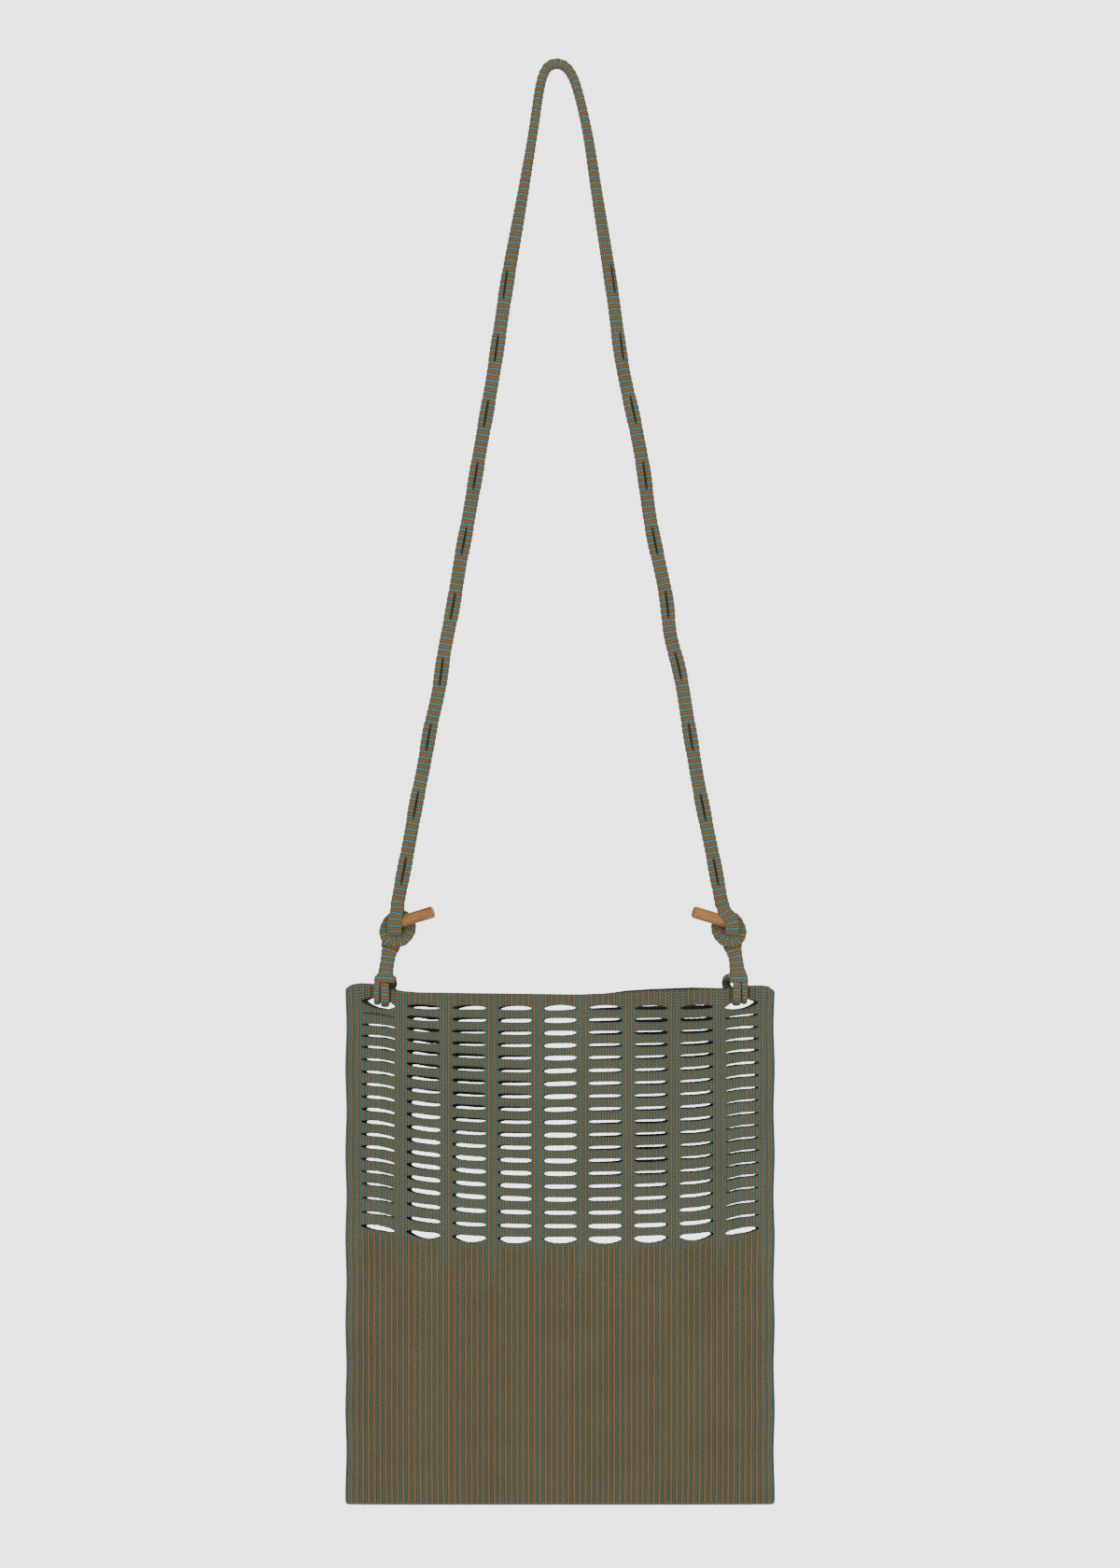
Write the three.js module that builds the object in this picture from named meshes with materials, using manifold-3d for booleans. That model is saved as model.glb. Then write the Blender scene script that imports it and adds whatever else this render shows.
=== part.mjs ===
// An open-weave shoulder bag: a flat ribbed pouch hung by a narrow knitted strap.
// Millimetres, +Z up, +Y away from the viewer of the front. The origin is under the strap's bend,
// where the bag hangs, so all of the bag but the bend itself lies below it.
import * as THREE from 'three';
import { mergeVertices } from 'three/addons/utils/BufferGeometryUtils.js';
import Module from 'manifold-3d';

const wasm = await Module();
wasm.setup();

// Pouch, as it hangs
const POUCH_HALF_WIDTH = 142;
const POUCH_MIDDLE_X = 1.9;
const POUCH_HALF_DEPTH = 8; // middle of the cloth to the middle plane, where the pouch is fullest
const TOP_Z = -613.4; // top edge at the middle
const CORNER_LIFT = 4.6; // the top edge stands higher at the hitches and corners
const CORNER_RISE = { from: 0.72, to: 0.95 }; // shares of the half width between which it rises
const EDGE_BOW = 1.6;
const FOOT_Z = -954;
const RIBS_PER_PANEL = 75;
const RIB_PITCH = (2 * POUCH_HALF_WIDTH) / RIBS_PER_PANEL;
const RIB_HEIGHT = 0.9;
const CLOTH = 1.8; // thickness of the cloth in a groove
const FOLD_POWER = 4; // how late the panels curve in towards the side folds

// Slits, in ribs across and in rows down
const COLUMNS = 9;
const COLUMN_RIBS = 8; // a column's six ribs and the two of the bar beside it
const SLIT_RIBS = 6;
const ROWS = 14;
const SLIT_HALF_WIDTH = 11;
const SLIT_HEIGHT = 4.8;
const SIDE_SLIT_HEIGHT = 3.4;
const SLIT_SHOULDER = 0.66; // share of the half width where the lens shape turns to its tip
const CORNER_SLIT_HEIGHT = 8.6; // the corner slits are pulled open by the hitches
const CORNER_SLIT_DROP = 0.5;
const FIRST_ROW_Z = -624.3;
const LAST_ROW_Z = -777.7;
const ROW_LIFT = { top: 3.4, bottom: 8, from: 0.6, full: 0.85 }; // the outer columns' rows lie higher

// Levels of the pouch from the top edge down
const PINCH_END_Z = -630;
const OPEN_MIDDLE_Z = -690;
const PLAIN_Z = -783; // the plain ribbed half starts here
const RIB_RAMP = 5; // ribs rise to full height over this much below the open half
const FOOT_TAPER_Z = -925;
const FOOT_DRAW = 0.92; // how far the depth has gone at the foot
const PINCHED_HALF_DEPTH = 1.7;
const PINCH_REACH = 22;
const PINCH_FADE = 50;

// Strap
const STRAP_WIDTH = 8.6;
const STRAP_THICKNESS = 5.6;
const STRAP_STEPS = 72;
const STRAP_SIDES = 8;

// Knots
const LIMB_THICKNESS = 2.3;
const LOOP_STEPS = 24;
const LOOP_NARROW = { from: -568.5, to: -575.5, by: 2 }; // its rounded tip
// The end loop's middle line, from where its limbs leave the band, round the back first
const LOOP_ROUTE = [
  { y: 0, z: -551.5 },
  { y: 3, z: -555 },
  { y: 5.2, z: -559.3 },
  { y: 6.2, z: -564 },
  { y: 6, z: -569 },
  { y: 4, z: -573.4 },
  { y: -0.6, z: -575 },
  { y: -5.2, z: -573.6 },
  { y: -7.3, z: -568.8 },
  { y: -7.2, z: -564 },
  { y: -5.6, z: -559.3 },
  { y: -2.9, z: -555 },
];
// How much of the strap's sideways offset is left at heights down the end loop
const LOOP_LEAN = [
  { z: -551.5, share: 1 },
  { z: -559, share: 0.7 },
  { z: -563, share: 0.3 },
  { z: -567, share: 0 },
];
const PEG_RADIUS = 3.7;
const PEG_LENGTH = 29.8;
const PEG_EDGE = 0.7;
const PEG_START = 2.4; // the hidden end lies this far outward of the strap end's middle
const PEG_RISE = 0.28; // radians up towards the middle of the bag
const PEG_LEAN = 0.26; // radians forward towards the middle of the bag
const PEG_MIDDLE = { y: -1.4, z: -568.6 };

// The leader's upper end, opened to a ring, from its foot round: outward, y and z
const RING_ROUTE = [
  [0.6, -0.3, -580],
  [5.2, -0.3, -578],
  [7.4, 0, -571.5],
  [5.2, 0.6, -564.2],
  [0, 0.9, -562],
  [-6.2, 2.4, -562],
  [-10.1, 2.5, -567.5],
  [-9.9, 1.2, -573.5],
  [-5.3, 0, -579],
];
const RING_MIDDLE = -1.7;
const RING_STEPS = 24;
const RING_HALF_WIDTH = 2.25;
const RING_FOOT = { from: -567, to: -578, swell: 1.2 };
const RING_HALF_THICKNESS = 2;
const NECK_STEPS = 16;
const NECK_HALF_THICKNESS = { top: 2.2, bottom: 1.5 };
// How far forward the neck lies at heights down it, to come over the pouch's edge
const NECK_FORWARD = [
  { z: -584, y: 0 },
  { z: -597, y: -0.4 },
  { z: -601.5, y: -3 },
  { z: -605.5, y: -5 },
  { z: -607.6, y: -5.2 },
];
const HITCH_STEPS = 56;
const STRAND_THICKNESS = 3.2;

// Where each knot stands. The strap ends at knotX; the rest is measured outward of it. Each row of
// a neck has its height, its middle and its half width.
const SIDES = {
  left: {
    side: -1,
    knotX: -107.6,
    strapOffset: -2,
    ringWidth: 1,
    neck: [
      { z: -579, middle: 1.5, half: 5.4 },
      { z: -582, middle: 2.9, half: 6.6 },
      { z: -584.8, middle: 3.3, half: 6 },
      { z: -587.5, middle: 3.7, half: 5 },
      { z: -590, middle: 4, half: 4.5 },
      { z: -594, middle: 4.7, half: 4.3 },
      { z: -598, middle: 5.4, half: 4.5 },
      { z: -601.8, middle: 5.9, half: 5 },
      { z: -604.4, middle: 6.3, half: 6.3 },
      { z: -607.6, middle: 6.5, half: 5.4 },
    ],
    outer: { strand: 11.9, half: 2.35, foot: -621.9, lobe: 11.6 },
    inner: { strand: 6.5, half: 3.1, foot: -623.5, lobe: 1.4 },
    strands: 9,
  },
  right: {
    side: 1,
    knotX: 115.6,
    strapOffset: -6.8,
    ringWidth: 0.955,
    neck: [
      { z: -579, middle: -0.5, half: 5.4 },
      { z: -582, middle: 0.8, half: 6.7 },
      { z: -584.8, middle: 1.4, half: 5.9 },
      { z: -588, middle: 2.5, half: 4.7 },
      { z: -591, middle: 3.2, half: 4.3 },
      { z: -594, middle: 3.8, half: 4.4 },
      { z: -599, middle: 4.2, half: 4.8 },
      { z: -602, middle: 4.6, half: 5.6 },
      { z: -604.4, middle: 4.7, half: 6 },
      { z: -607.6, middle: 4.7, half: 5 },
    ],
    outer: { strand: 8.5, half: 2.25, foot: -621.2, lobe: 9 },
    inner: { strand: 3.3, half: 3, foot: -622.8, lobe: -3.1 },
    strands: 6,
  },
};

// The strap's middle line from the left knot up over the bend and down to the right knot, with the
// turn of its wide face: 0 faces the front and 1 lies across the bend
const STRAP_ROUTE = [
  { x: -106.2, z: -556, turn: 0 },
  { x: -102.8, z: -537.9, turn: 0 },
  { x: -98, z: -513, turn: 0 },
  { x: -93.6, z: -488.2, turn: 0 },
  { x: -88.6, z: -463.4, turn: 0 },
  { x: -84.3, z: -438.6, turn: 0 },
  { x: -78.8, z: -413.9, turn: 0 },
  { x: -75.2, z: -389.1, turn: 0 },
  { x: -68.9, z: -356, turn: 0 },
  { x: -64.2, z: -327.1, turn: 0 },
  { x: -59.5, z: -302.2, turn: 0 },
  { x: -51, z: -252.7, turn: 0.03 },
  { x: -42.4, z: -203.1, turn: 0.08 },
  { x: -33, z: -141.1, turn: 0.25 },
  { x: -24.2, z: -91.5, turn: 0.6 },
  { x: -15.9, z: -41.9, turn: 0.95 },
  { x: -11.4, z: -12.5, turn: 1 },
  { x: -9, z: -4, turn: 1 },
  { x: -5.9, z: 0.9, turn: 1 },
  { x: -1.6, z: 2.8, turn: 1 },
  { x: 2.6, z: 2.4, turn: 1 },
  { x: 6.2, z: 0.2, turn: 1 },
  { x: 9.8, z: -4.8, turn: 1 },
  { x: 13, z: -13, turn: 1 },
  { x: 19.9, z: -41.9, turn: 0.85 },
  { x: 25.7, z: -79, turn: 0.65 },
  { x: 33.5, z: -128.7, turn: 0.48 },
  { x: 37.2, z: -153.4, turn: 0.42 },
  { x: 43.4, z: -198, turn: 0.3 },
  { x: 52.4, z: -240.2, turn: 0.15 },
  { x: 57, z: -265.1, turn: 0.1 },
  { x: 62.2, z: -302.2, turn: 0.05 },
  { x: 72.4, z: -351.9, turn: 0 },
  { x: 75.2, z: -376.6, turn: 0 },
  { x: 81.4, z: -401.4, turn: 0 },
  { x: 87.6, z: -438.6, turn: 0 },
  { x: 93.9, z: -475.9, turn: 0 },
  { x: 98.7, z: -500.6, turn: 0 },
  { x: 103.8, z: -525.5, turn: 0 },
  { x: 109.5, z: -556, turn: 0 },
];

const FINISH = {
  pouch: new THREE.MeshStandardMaterial({ color: 0x6f6a4c, roughness: 0.95, metalness: 0 }),
  strap: new THREE.MeshStandardMaterial({ color: 0x6a6c50, roughness: 0.95, metalness: 0 }),
  leader: new THREE.MeshStandardMaterial({ color: 0x626a52, roughness: 0.95, metalness: 0 }),
  wood: new THREE.MeshStandardMaterial({ color: 0xa5743f, roughness: 0.6, metalness: 0 }),
};

// Shapes to solids and back
function toSolid(geometry) {
  const bare = new THREE.BufferGeometry();
  bare.setAttribute('position', geometry.getAttribute('position').clone());
  if (geometry.index) bare.setIndex(geometry.index.clone());
  const merged = mergeVertices(bare, 1e-4);
  return new wasm.Manifold(
    new wasm.Mesh({
      numProp: 3,
      vertProperties: new Float32Array(merged.getAttribute('position').array),
      triVerts: new Uint32Array(merged.index.array),
    }),
  );
}

function toGeometry(solid) {
  const mesh = solid.getMesh();
  const geometry = new THREE.BufferGeometry();
  const positions = new Float32Array(mesh.vertProperties);
  geometry.setAttribute('position', new THREE.BufferAttribute(positions, 3));
  geometry.setIndex(new THREE.BufferAttribute(new Uint32Array(mesh.triVerts), 1));
  geometry.computeVertexNormals();
  return geometry;
}

function geometryOf(points, triangles) {
  const geometry = new THREE.BufferGeometry();
  const positions = new Float32Array(points.flatMap((p) => [p.x, p.y, p.z]));
  geometry.setAttribute('position', new THREE.BufferAttribute(positions, 3));
  geometry.setIndex(triangles.flat());
  return geometry;
}

function smoothStep(low, high, value) {
  const t = THREE.MathUtils.clamp((value - low) / (high - low), 0, 1);
  return t * t * (3 - 2 * t);
}

// A value read off rows that go down in z
function atHeight(rows, z, key) {
  const next = rows.findIndex((row) => row.z <= z);
  if (next === 0) return rows[0][key];
  if (next < 0) return rows.at(-1)[key];
  const [above, below] = [rows[next - 1], rows[next]];
  return THREE.MathUtils.lerp(above[key], below[key], (above.z - z) / (above.z - below.z));
}

// A flat-oval band carried along stations. Each station has a point, the direction of the band's
// width, and its half width and half thickness.
function bandAlong(stations, closed, sides) {
  const points = [];
  const triangles = [];
  const count = stations.length;
  stations.forEach((station, i) => {
    const before = stations[closed ? (i + count - 1) % count : Math.max(i - 1, 0)].point;
    const after = stations[closed ? (i + 1) % count : Math.min(i + 1, count - 1)].point;
    const along = after.clone().sub(before).normalize();
    const depth = along.clone().cross(station.wide).normalize();
    const wide = depth.clone().cross(along).normalize();
    for (let k = 0; k < sides; k += 1) {
      const angle = (2 * Math.PI * (k + 0.5)) / sides;
      const across = Math.sign(Math.cos(angle)) * Math.abs(Math.cos(angle)) ** 0.8;
      const through = Math.sign(Math.sin(angle)) * Math.abs(Math.sin(angle)) ** 0.8;
      points.push(
        station.point
          .clone()
          .addScaledVector(wide, across * station.halfWidth)
          .addScaledVector(depth, through * station.halfThickness),
      );
    }
  });
  const rings = closed ? count : count - 1;
  for (let i = 0; i < rings; i += 1) {
    const here = i * sides;
    const next = ((i + 1) % count) * sides;
    for (let k = 0; k < sides; k += 1) {
      const turn = (k + 1) % sides;
      triangles.push([here + k, here + turn, next + turn], [here + k, next + turn, next + k]);
    }
  }
  if (!closed) {
    const last = (count - 1) * sides;
    for (let k = 1; k < sides - 1; k += 1) {
      triangles.push([0, k + 1, k], [last, last + k, last + k + 1]);
    }
  }
  const solid = toSolid(geometryOf(points, triangles));
  if (solid.volume() > 0) return solid;
  return toSolid(geometryOf(points, triangles.map(([a, b, c]) => [a, c, b])));
}

// Pouch
function hitchX(name) {
  return SIDES[name].knotX + SIDES[name].side * SIDES[name].strands;
}

function pinchAt(x, z) {
  const near = Object.keys(SIDES).reduce((sum, name) => {
    const away = (x - hitchX(name)) / PINCH_REACH;
    return sum + Math.exp(-away * away);
  }, 0);
  return Math.min(near, 1) * (1 - smoothStep(0, PINCH_FADE, PINCH_END_Z - z));
}

// Half depth of the middle of the cloth: full between the folds, drawn in at the hitches and foot
function halfDepth(x, z) {
  const across = Math.min(Math.abs(x - POUCH_MIDDLE_X) / POUCH_HALF_WIDTH, 1);
  const full = POUCH_HALF_DEPTH * Math.sqrt(1 - across ** FOLD_POWER);
  const foot = 1 - FOOT_DRAW * smoothStep(0, FOOT_TAPER_Z - FOOT_Z, FOOT_TAPER_Z - z);
  const pinch = pinchAt(x, z);
  return full * foot * (1 - pinch) + Math.min(full, PINCHED_HALF_DEPTH) * pinch;
}

function topEdgeZ(x) {
  const across = Math.abs(x - POUCH_MIDDLE_X) / POUCH_HALF_WIDTH;
  const lift = CORNER_LIFT * smoothStep(CORNER_RISE.from, CORNER_RISE.to, across);
  return TOP_Z + lift + EDGE_BOW * across * across;
}

function rowLift(x, share) {
  const across = Math.abs(x - POUCH_MIDDLE_X) / POUCH_HALF_WIDTH;
  const top = ROW_LIFT.top * smoothStep(ROW_LIFT.from, ROW_LIFT.full, across);
  const bottom = ROW_LIFT.bottom * (across / ROW_LIFT.full) ** 3;
  return top + (bottom - top) * share;
}

// Places across a panel in rib pitches from its middle, with the rib's height at each
function edgeOfSlits(place) {
  const column = Math.round(place / COLUMN_RIBS);
  const inColumn = Math.abs(column) <= (COLUMNS - 1) / 2;
  return inColumn && Math.abs(place - column * COLUMN_RIBS) < SLIT_RIBS / 2;
}

function ribPlaces(withSlits) {
  const places = [];
  const last = RIBS_PER_PANEL / 2;
  for (let place = -last; place <= last; place += 0.5) {
    const crest = Math.abs(place % 1) === 0.5;
    if (withSlits && edgeOfSlits(place)) {
      if (Math.abs(place) === 4 * COLUMN_RIBS) places.push({ place, rise: 0 });
    } else {
      places.push({ place, rise: crest ? 1 : 0 });
    }
  }
  return places;
}

// One level of the pouch: its points round the tube, and how far round each one lies
function ringOf(places, pointAt) {
  const last = places.at(-1).place;
  const back = places.slice(1, -1).reverse();
  const frontRow = places.map((spot) => ({
    point: pointAt(spot, -1),
    round: (spot.place + last) / (4 * last),
  }));
  const backRow = back.map((spot) => ({
    point: pointAt(spot, 1),
    round: 0.5 + (last - spot.place) / (4 * last),
  }));
  return frontRow.concat(backRow);
}

// The outside, from the left fold across the front and back again; the fold ribs are shared
function outerRing(places, zAt, ribShare) {
  return ringOf(places, ({ place, rise }, face) => {
    const x = POUCH_MIDDLE_X + place * RIB_PITCH;
    const z = zAt(x);
    const raised = CLOTH / 2 + rise * ribShare * RIB_HEIGHT;
    const fold = Math.abs(place) === RIBS_PER_PANEL / 2;
    return new THREE.Vector3(x, fold ? 0 : face * (halfDepth(x, z) + raised), z);
  });
}

// Joins two rings that may have different numbers of points, going round both together
function zipped(upper, lower, upperStart, lowerStart) {
  const triangles = [];
  const roundOf = (ring, i) => (i < ring.length ? ring[i].round : 1 + 1e-9);
  let i = 0;
  let j = 0;
  while (i < upper.length || j < lower.length) {
    const a = upperStart + (i % upper.length);
    const b = lowerStart + (j % lower.length);
    const lowerNext = j < lower.length && roundOf(lower, j + 1) <= roundOf(upper, i + 1);
    if (lowerNext || i >= upper.length) {
      j += 1;
      triangles.push([a, b, lowerStart + (j % lower.length)]);
    } else {
      i += 1;
      triangles.push([a, b, upperStart + (i % upper.length)]);
    }
  }
  return triangles;
}

// Closes a ring straight across from its front points to its back points
function lid(start, count, up) {
  const triangles = [];
  for (let k = 0; k < count / 2; k += 1) {
    const front = [start + k, start + k + 1];
    const back = [start + ((count - k) % count), start + count - k - 1];
    const pair = [
      [front[0], front[1], back[1]],
      [front[0], back[1], back[0]],
    ];
    pair.forEach(([a, b, c]) => {
      if (a !== b && b !== c && a !== c) triangles.push(up ? [a, b, c] : [a, c, b]);
    });
  }
  return triangles;
}

function lidded(rings) {
  const points = rings.flatMap((ring) => ring.map(({ point }) => point));
  const starts = rings.map((ring, i) => rings.slice(0, i).reduce((n, r) => n + r.length, 0));
  const triangles = lid(0, rings[0].length, true);
  for (let level = 0; level < rings.length - 1; level += 1) {
    const [upper, lower] = [rings[level], rings[level + 1]];
    triangles.push(...zipped(upper, lower, starts[level], starts[level + 1]));
  }
  triangles.push(...lid(starts.at(-1), rings.at(-1).length, false));
  return toSolid(geometryOf(points, triangles));
}

// The space inside the pouch, smooth, and reaching out above the mouth
function cavity() {
  const places = [];
  for (let column = -(COLUMNS - 1) / 2; column <= (COLUMNS - 1) / 2; column += 1) {
    const middle = column * COLUMN_RIBS;
    places.push(middle - SLIT_RIBS / 2);
    if (Math.abs(column) === (COLUMNS - 1) / 2) places.push(middle);
    places.push(middle + SLIT_RIBS / 2);
  }
  const last = RIBS_PER_PANEL / 2 - 0.85;
  const across = [-last, ...places, last].map((place) => ({ place }));
  const levels = [
    (x) => topEdgeZ(x) + 2,
    () => PINCH_END_Z,
    () => OPEN_MIDDLE_Z,
    () => FOOT_TAPER_Z,
    () => FOOT_Z + 5,
  ];
  const rings = levels.map((zAt) =>
    ringOf(across, ({ place }, face) => {
      const x = POUCH_MIDDLE_X + place * RIB_PITCH;
      const z = zAt(x);
      const space = Math.max(halfDepth(x, z) - CLOTH / 2, 0.35);
      return new THREE.Vector3(x, Math.abs(place) === last ? 0 : face * space, z);
    }),
  );
  return lidded(rings);
}

// One slit's lens outline with six corners, cut through one face of the pouch
function slitCut(x, z, halfWidth, height, face) {
  const shoulder = halfWidth * SLIT_SHOULDER;
  const outline = new THREE.Shape([
    new THREE.Vector2(-halfWidth, 0),
    new THREE.Vector2(-shoulder, -height / 2),
    new THREE.Vector2(shoulder, -height / 2),
    new THREE.Vector2(halfWidth, 0),
    new THREE.Vector2(shoulder, height / 2),
    new THREE.Vector2(-shoulder, height / 2),
  ]);
  const reach = POUCH_HALF_DEPTH * 2;
  const geometry = new THREE.ExtrudeGeometry(outline, { depth: reach, bevelEnabled: false });
  geometry.rotateX(Math.PI / 2);
  geometry.translate(x, face > 0 ? reach : 0, z);
  return toSolid(geometry);
}

function slits() {
  const cuts = [];
  for (let column = 0; column < COLUMNS; column += 1) {
    const x = POUCH_MIDDLE_X + (column - (COLUMNS - 1) / 2) * COLUMN_RIBS * RIB_PITCH;
    const side = column === 0 || column === COLUMNS - 1;
    for (let row = 0; row < ROWS; row += 1) {
      const share = row / (ROWS - 1);
      const z = FIRST_ROW_Z + (LAST_ROW_Z - FIRST_ROW_Z) * share + rowLift(x, share);
      const corner = side && row === 0;
      const height = corner ? CORNER_SLIT_HEIGHT : side ? SIDE_SLIT_HEIGHT : SLIT_HEIGHT;
      const middle = corner ? z - CORNER_SLIT_DROP : z;
      [-1, 1].forEach((face) => cuts.push(slitCut(x, middle, SLIT_HALF_WIDTH, height, face)));
    }
  }
  return wasm.Manifold.union(cuts);
}

function pouch() {
  const openPlaces = ribPlaces(true);
  const plainPlaces = ribPlaces(false);
  const outside = lidded([
    outerRing(openPlaces, topEdgeZ, 1),
    outerRing(openPlaces, () => PINCH_END_Z, 1),
    outerRing(openPlaces, () => OPEN_MIDDLE_Z, 1),
    outerRing(openPlaces, () => PLAIN_Z, 1),
    outerRing(plainPlaces, () => PLAIN_Z - RIB_RAMP, 1),
    outerRing(plainPlaces, () => FOOT_TAPER_Z, 1),
    outerRing(plainPlaces, () => FOOT_Z, 1),
  ]);
  return outside.subtract(cavity()).subtract(slits());
}

// How far z has gone down from one height to the other
function stepTowards({ from, to }, z) {
  return (from - z) / (from - to);
}

// Strap
function strapStations() {
  const curve = new THREE.CatmullRomCurve3(
    STRAP_ROUTE.map(({ x, z }) => new THREE.Vector3(x, 0, z)),
    false,
    'centripetal',
  );
  const rows = STRAP_ROUTE.length - 1;
  const stations = [];
  for (let i = 0; i <= STRAP_STEPS; i += 1) {
    const share = i / STRAP_STEPS;
    const point = curve.getPoint(share);
    const along = curve.getTangent(share);
    const inPlane = new THREE.Vector3(along.z, 0, -along.x);
    const row = Math.min(Math.floor(share * rows), rows - 1);
    const part = share * rows - row;
    const turn = THREE.MathUtils.lerp(STRAP_ROUTE[row].turn, STRAP_ROUTE[row + 1].turn, part);
    const angle = (turn * Math.PI) / 2;
    const wide = inPlane.multiplyScalar(Math.cos(angle));
    wide.addScaledVector(new THREE.Vector3(0, 1, 0), Math.sin(angle));
    stations.push({
      point,
      wide,
      halfWidth: STRAP_WIDTH / 2,
      halfThickness: STRAP_THICKNESS / 2,
    });
  }
  return stations;
}

// The last buttonhole, opened front to back round the peg and the leader's ring: a drop shape
// whose two limbs leave the band together and meet again under the peg
function endLoop({ side, knotX, strapOffset }) {
  const rows = LOOP_ROUTE.map(({ y, z }) => {
    const lean = strapOffset * atHeight(LOOP_LEAN, z, 'share');
    return new THREE.Vector3(knotX + side * lean, y, z);
  });
  const section = (share, along, point) => ({
    wide: new THREE.Vector3(1, 0, 0),
    halfWidth:
      STRAP_WIDTH / 2 - LOOP_NARROW.by * smoothStep(0, 1, stepTowards(LOOP_NARROW, point.z)),
    halfThickness: LIMB_THICKNESS / 2,
  });
  return bandAlong(throughPoints(rows, LOOP_STEPS, true, section), true, STRAP_SIDES);
}

function shoulderStrap() {
  const band = bandAlong(strapStations(), false, STRAP_SIDES);
  return band.add(endLoop(SIDES.left)).add(endLoop(SIDES.right));
}

// Leaders
function throughPoints(rows, steps, closed, section) {
  const curve = new THREE.CatmullRomCurve3(rows, closed, 'centripetal');
  const stations = [];
  const count = closed ? steps : steps + 1;
  for (let i = 0; i < count; i += 1) {
    const share = i / steps;
    const point = curve.getPoint(share);
    stations.push({ point, ...section(share, curve.getTangent(share), point) });
  }
  return stations;
}

// The ring, wide in its own plane and widest at its foot
function leaderRing({ side, knotX, ringWidth }) {
  const rows = RING_ROUTE.map(([out, y, z]) => {
    const wider = RING_MIDDLE + (out - RING_MIDDLE) * ringWidth;
    return new THREE.Vector3(knotX + side * wider, y, z);
  });
  const front = new THREE.Vector3(0, 1, 0);
  const section = (share, along, point) => ({
    wide: along.clone().cross(front),
    halfWidth:
      RING_HALF_WIDTH + RING_FOOT.swell * smoothStep(0, 1, stepTowards(RING_FOOT, point.z)),
    halfThickness: RING_HALF_THICKNESS,
  });
  return bandAlong(throughPoints(rows, RING_STEPS, true, section), true, 8);
}

// The neck, a flat band that comes forward over the pouch's edge and covers the strands' tops
function leaderNeck({ side, knotX, neck }) {
  const rows = neck.map(({ z, middle }) => {
    return new THREE.Vector3(knotX + side * middle, atHeight(NECK_FORWARD, z, 'y'), z);
  });
  const section = (share, along, point) => ({
    wide: new THREE.Vector3(1, 0, 0),
    halfWidth: atHeight(neck, point.z, 'half'),
    halfThickness: THREE.MathUtils.lerp(NECK_HALF_THICKNESS.top, NECK_HALF_THICKNESS.bottom, share),
  });
  return bandAlong(throughPoints(rows, NECK_STEPS, false, section), false, 10);
}

// One strand, from the neck's side over the pouch's edge, down the back, through the corner slit
// and up the front. Each row has outward, y, z, the half width, and where the width lies: along X
// by the fifth number and along Z by the sixth. away is 1 for the outer strand.
function strandRows({ strand, half, foot, lobe }, neckSide, away, side) {
  const lower = foot + STRAND_THICKNESS / 2;
  return [
    [neckSide, -3.2, -601.4, 1.9, away, 0],
    [lobe - 0.8 * away, -1.4, -603.4, 2, away, 0],
    [lobe, 3.6, -605.2, 2, away, 0],
    [strand + 0.3 * away, 5.9, -610.4, 2.1, away, 0],
    [strand, 5.9, -616.3, half, away, 0],
    [strand, 3.2, -620, half, away, 0],
    [strand, -2.4, lower, half, away, 0],
    [strand, -5.7, lower + 3, half, away, 0],
    [strand, -6.3, -611.8, half, away, 0],
    [strand - 0.4 * away, -5.1, -607.2, half, away, 0.3 * side],
  ];
}

function hitch({ side, knotX, neck, outer, inner }) {
  const end = neck.at(-2);
  const outerSide = end.middle + end.half - 4;
  const innerSide = end.middle - end.half + 4;
  const between = (outer.strand + inner.strand) / 2;
  const table = [
    ...strandRows(outer, outerSide, 1, side),
    [between, -2.4, -604.6, 2.2, 0, side],
    ...strandRows(inner, innerSide, -1, side).reverse(),
  ];
  const rows = table.map(([out, y, z]) => new THREE.Vector3(knotX + side * out, y, z));
  const section = (share) => {
    const place = share * (table.length - 1);
    const row = Math.min(Math.floor(place), table.length - 2);
    const mix = (column) => {
      return THREE.MathUtils.lerp(table[row][column], table[row + 1][column], place - row);
    };
    return {
      wide: new THREE.Vector3(mix(4), 0, mix(5)),
      halfWidth: mix(3),
      halfThickness: STRAND_THICKNESS / 2,
    };
  };
  return bandAlong(throughPoints(rows, HITCH_STEPS, false, section), false, 8);
}

function leader(knot) {
  return leaderRing(knot).add(leaderNeck(knot)).add(hitch(knot));
}

// Pegs: turned rods with a small rounded edge at both ends, made along +Y and then laid in place
function toggle(name) {
  const { side, knotX } = SIDES[name];
  const half = PEG_LENGTH / 2;
  const inner = PEG_RADIUS - PEG_EDGE;
  const profile = [
    [0, -half],
    [inner, -half],
    [PEG_RADIUS - 0.2, -half + 0.25],
    [PEG_RADIUS, -half + PEG_EDGE],
    [PEG_RADIUS, half - PEG_EDGE],
    [PEG_RADIUS - 0.2, half - 0.25],
    [inner, half],
    [0, half],
  ].map(([radius, height]) => new THREE.Vector2(radius, height));
  const geometry = toGeometry(toSolid(new THREE.LatheGeometry(profile, 18)));
  const mesh = new THREE.Mesh(geometry, FINISH.wood);
  const towards = new THREE.Vector3(
    -side * Math.cos(PEG_RISE) * Math.cos(PEG_LEAN),
    -Math.sin(PEG_LEAN),
    Math.sin(PEG_RISE) * Math.cos(PEG_LEAN),
  ).normalize();
  mesh.quaternion.setFromUnitVectors(new THREE.Vector3(0, 1, 0), towards);
  const start = new THREE.Vector3(knotX, PEG_MIDDLE.y, PEG_MIDDLE.z);
  mesh.position.copy(start.addScaledVector(towards, half - PEG_START));
  mesh.name = `toggle_${name}`;
  return mesh;
}

function named(name, solid, finish) {
  const mesh = new THREE.Mesh(toGeometry(solid), finish);
  mesh.name = name;
  return mesh;
}

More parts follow.
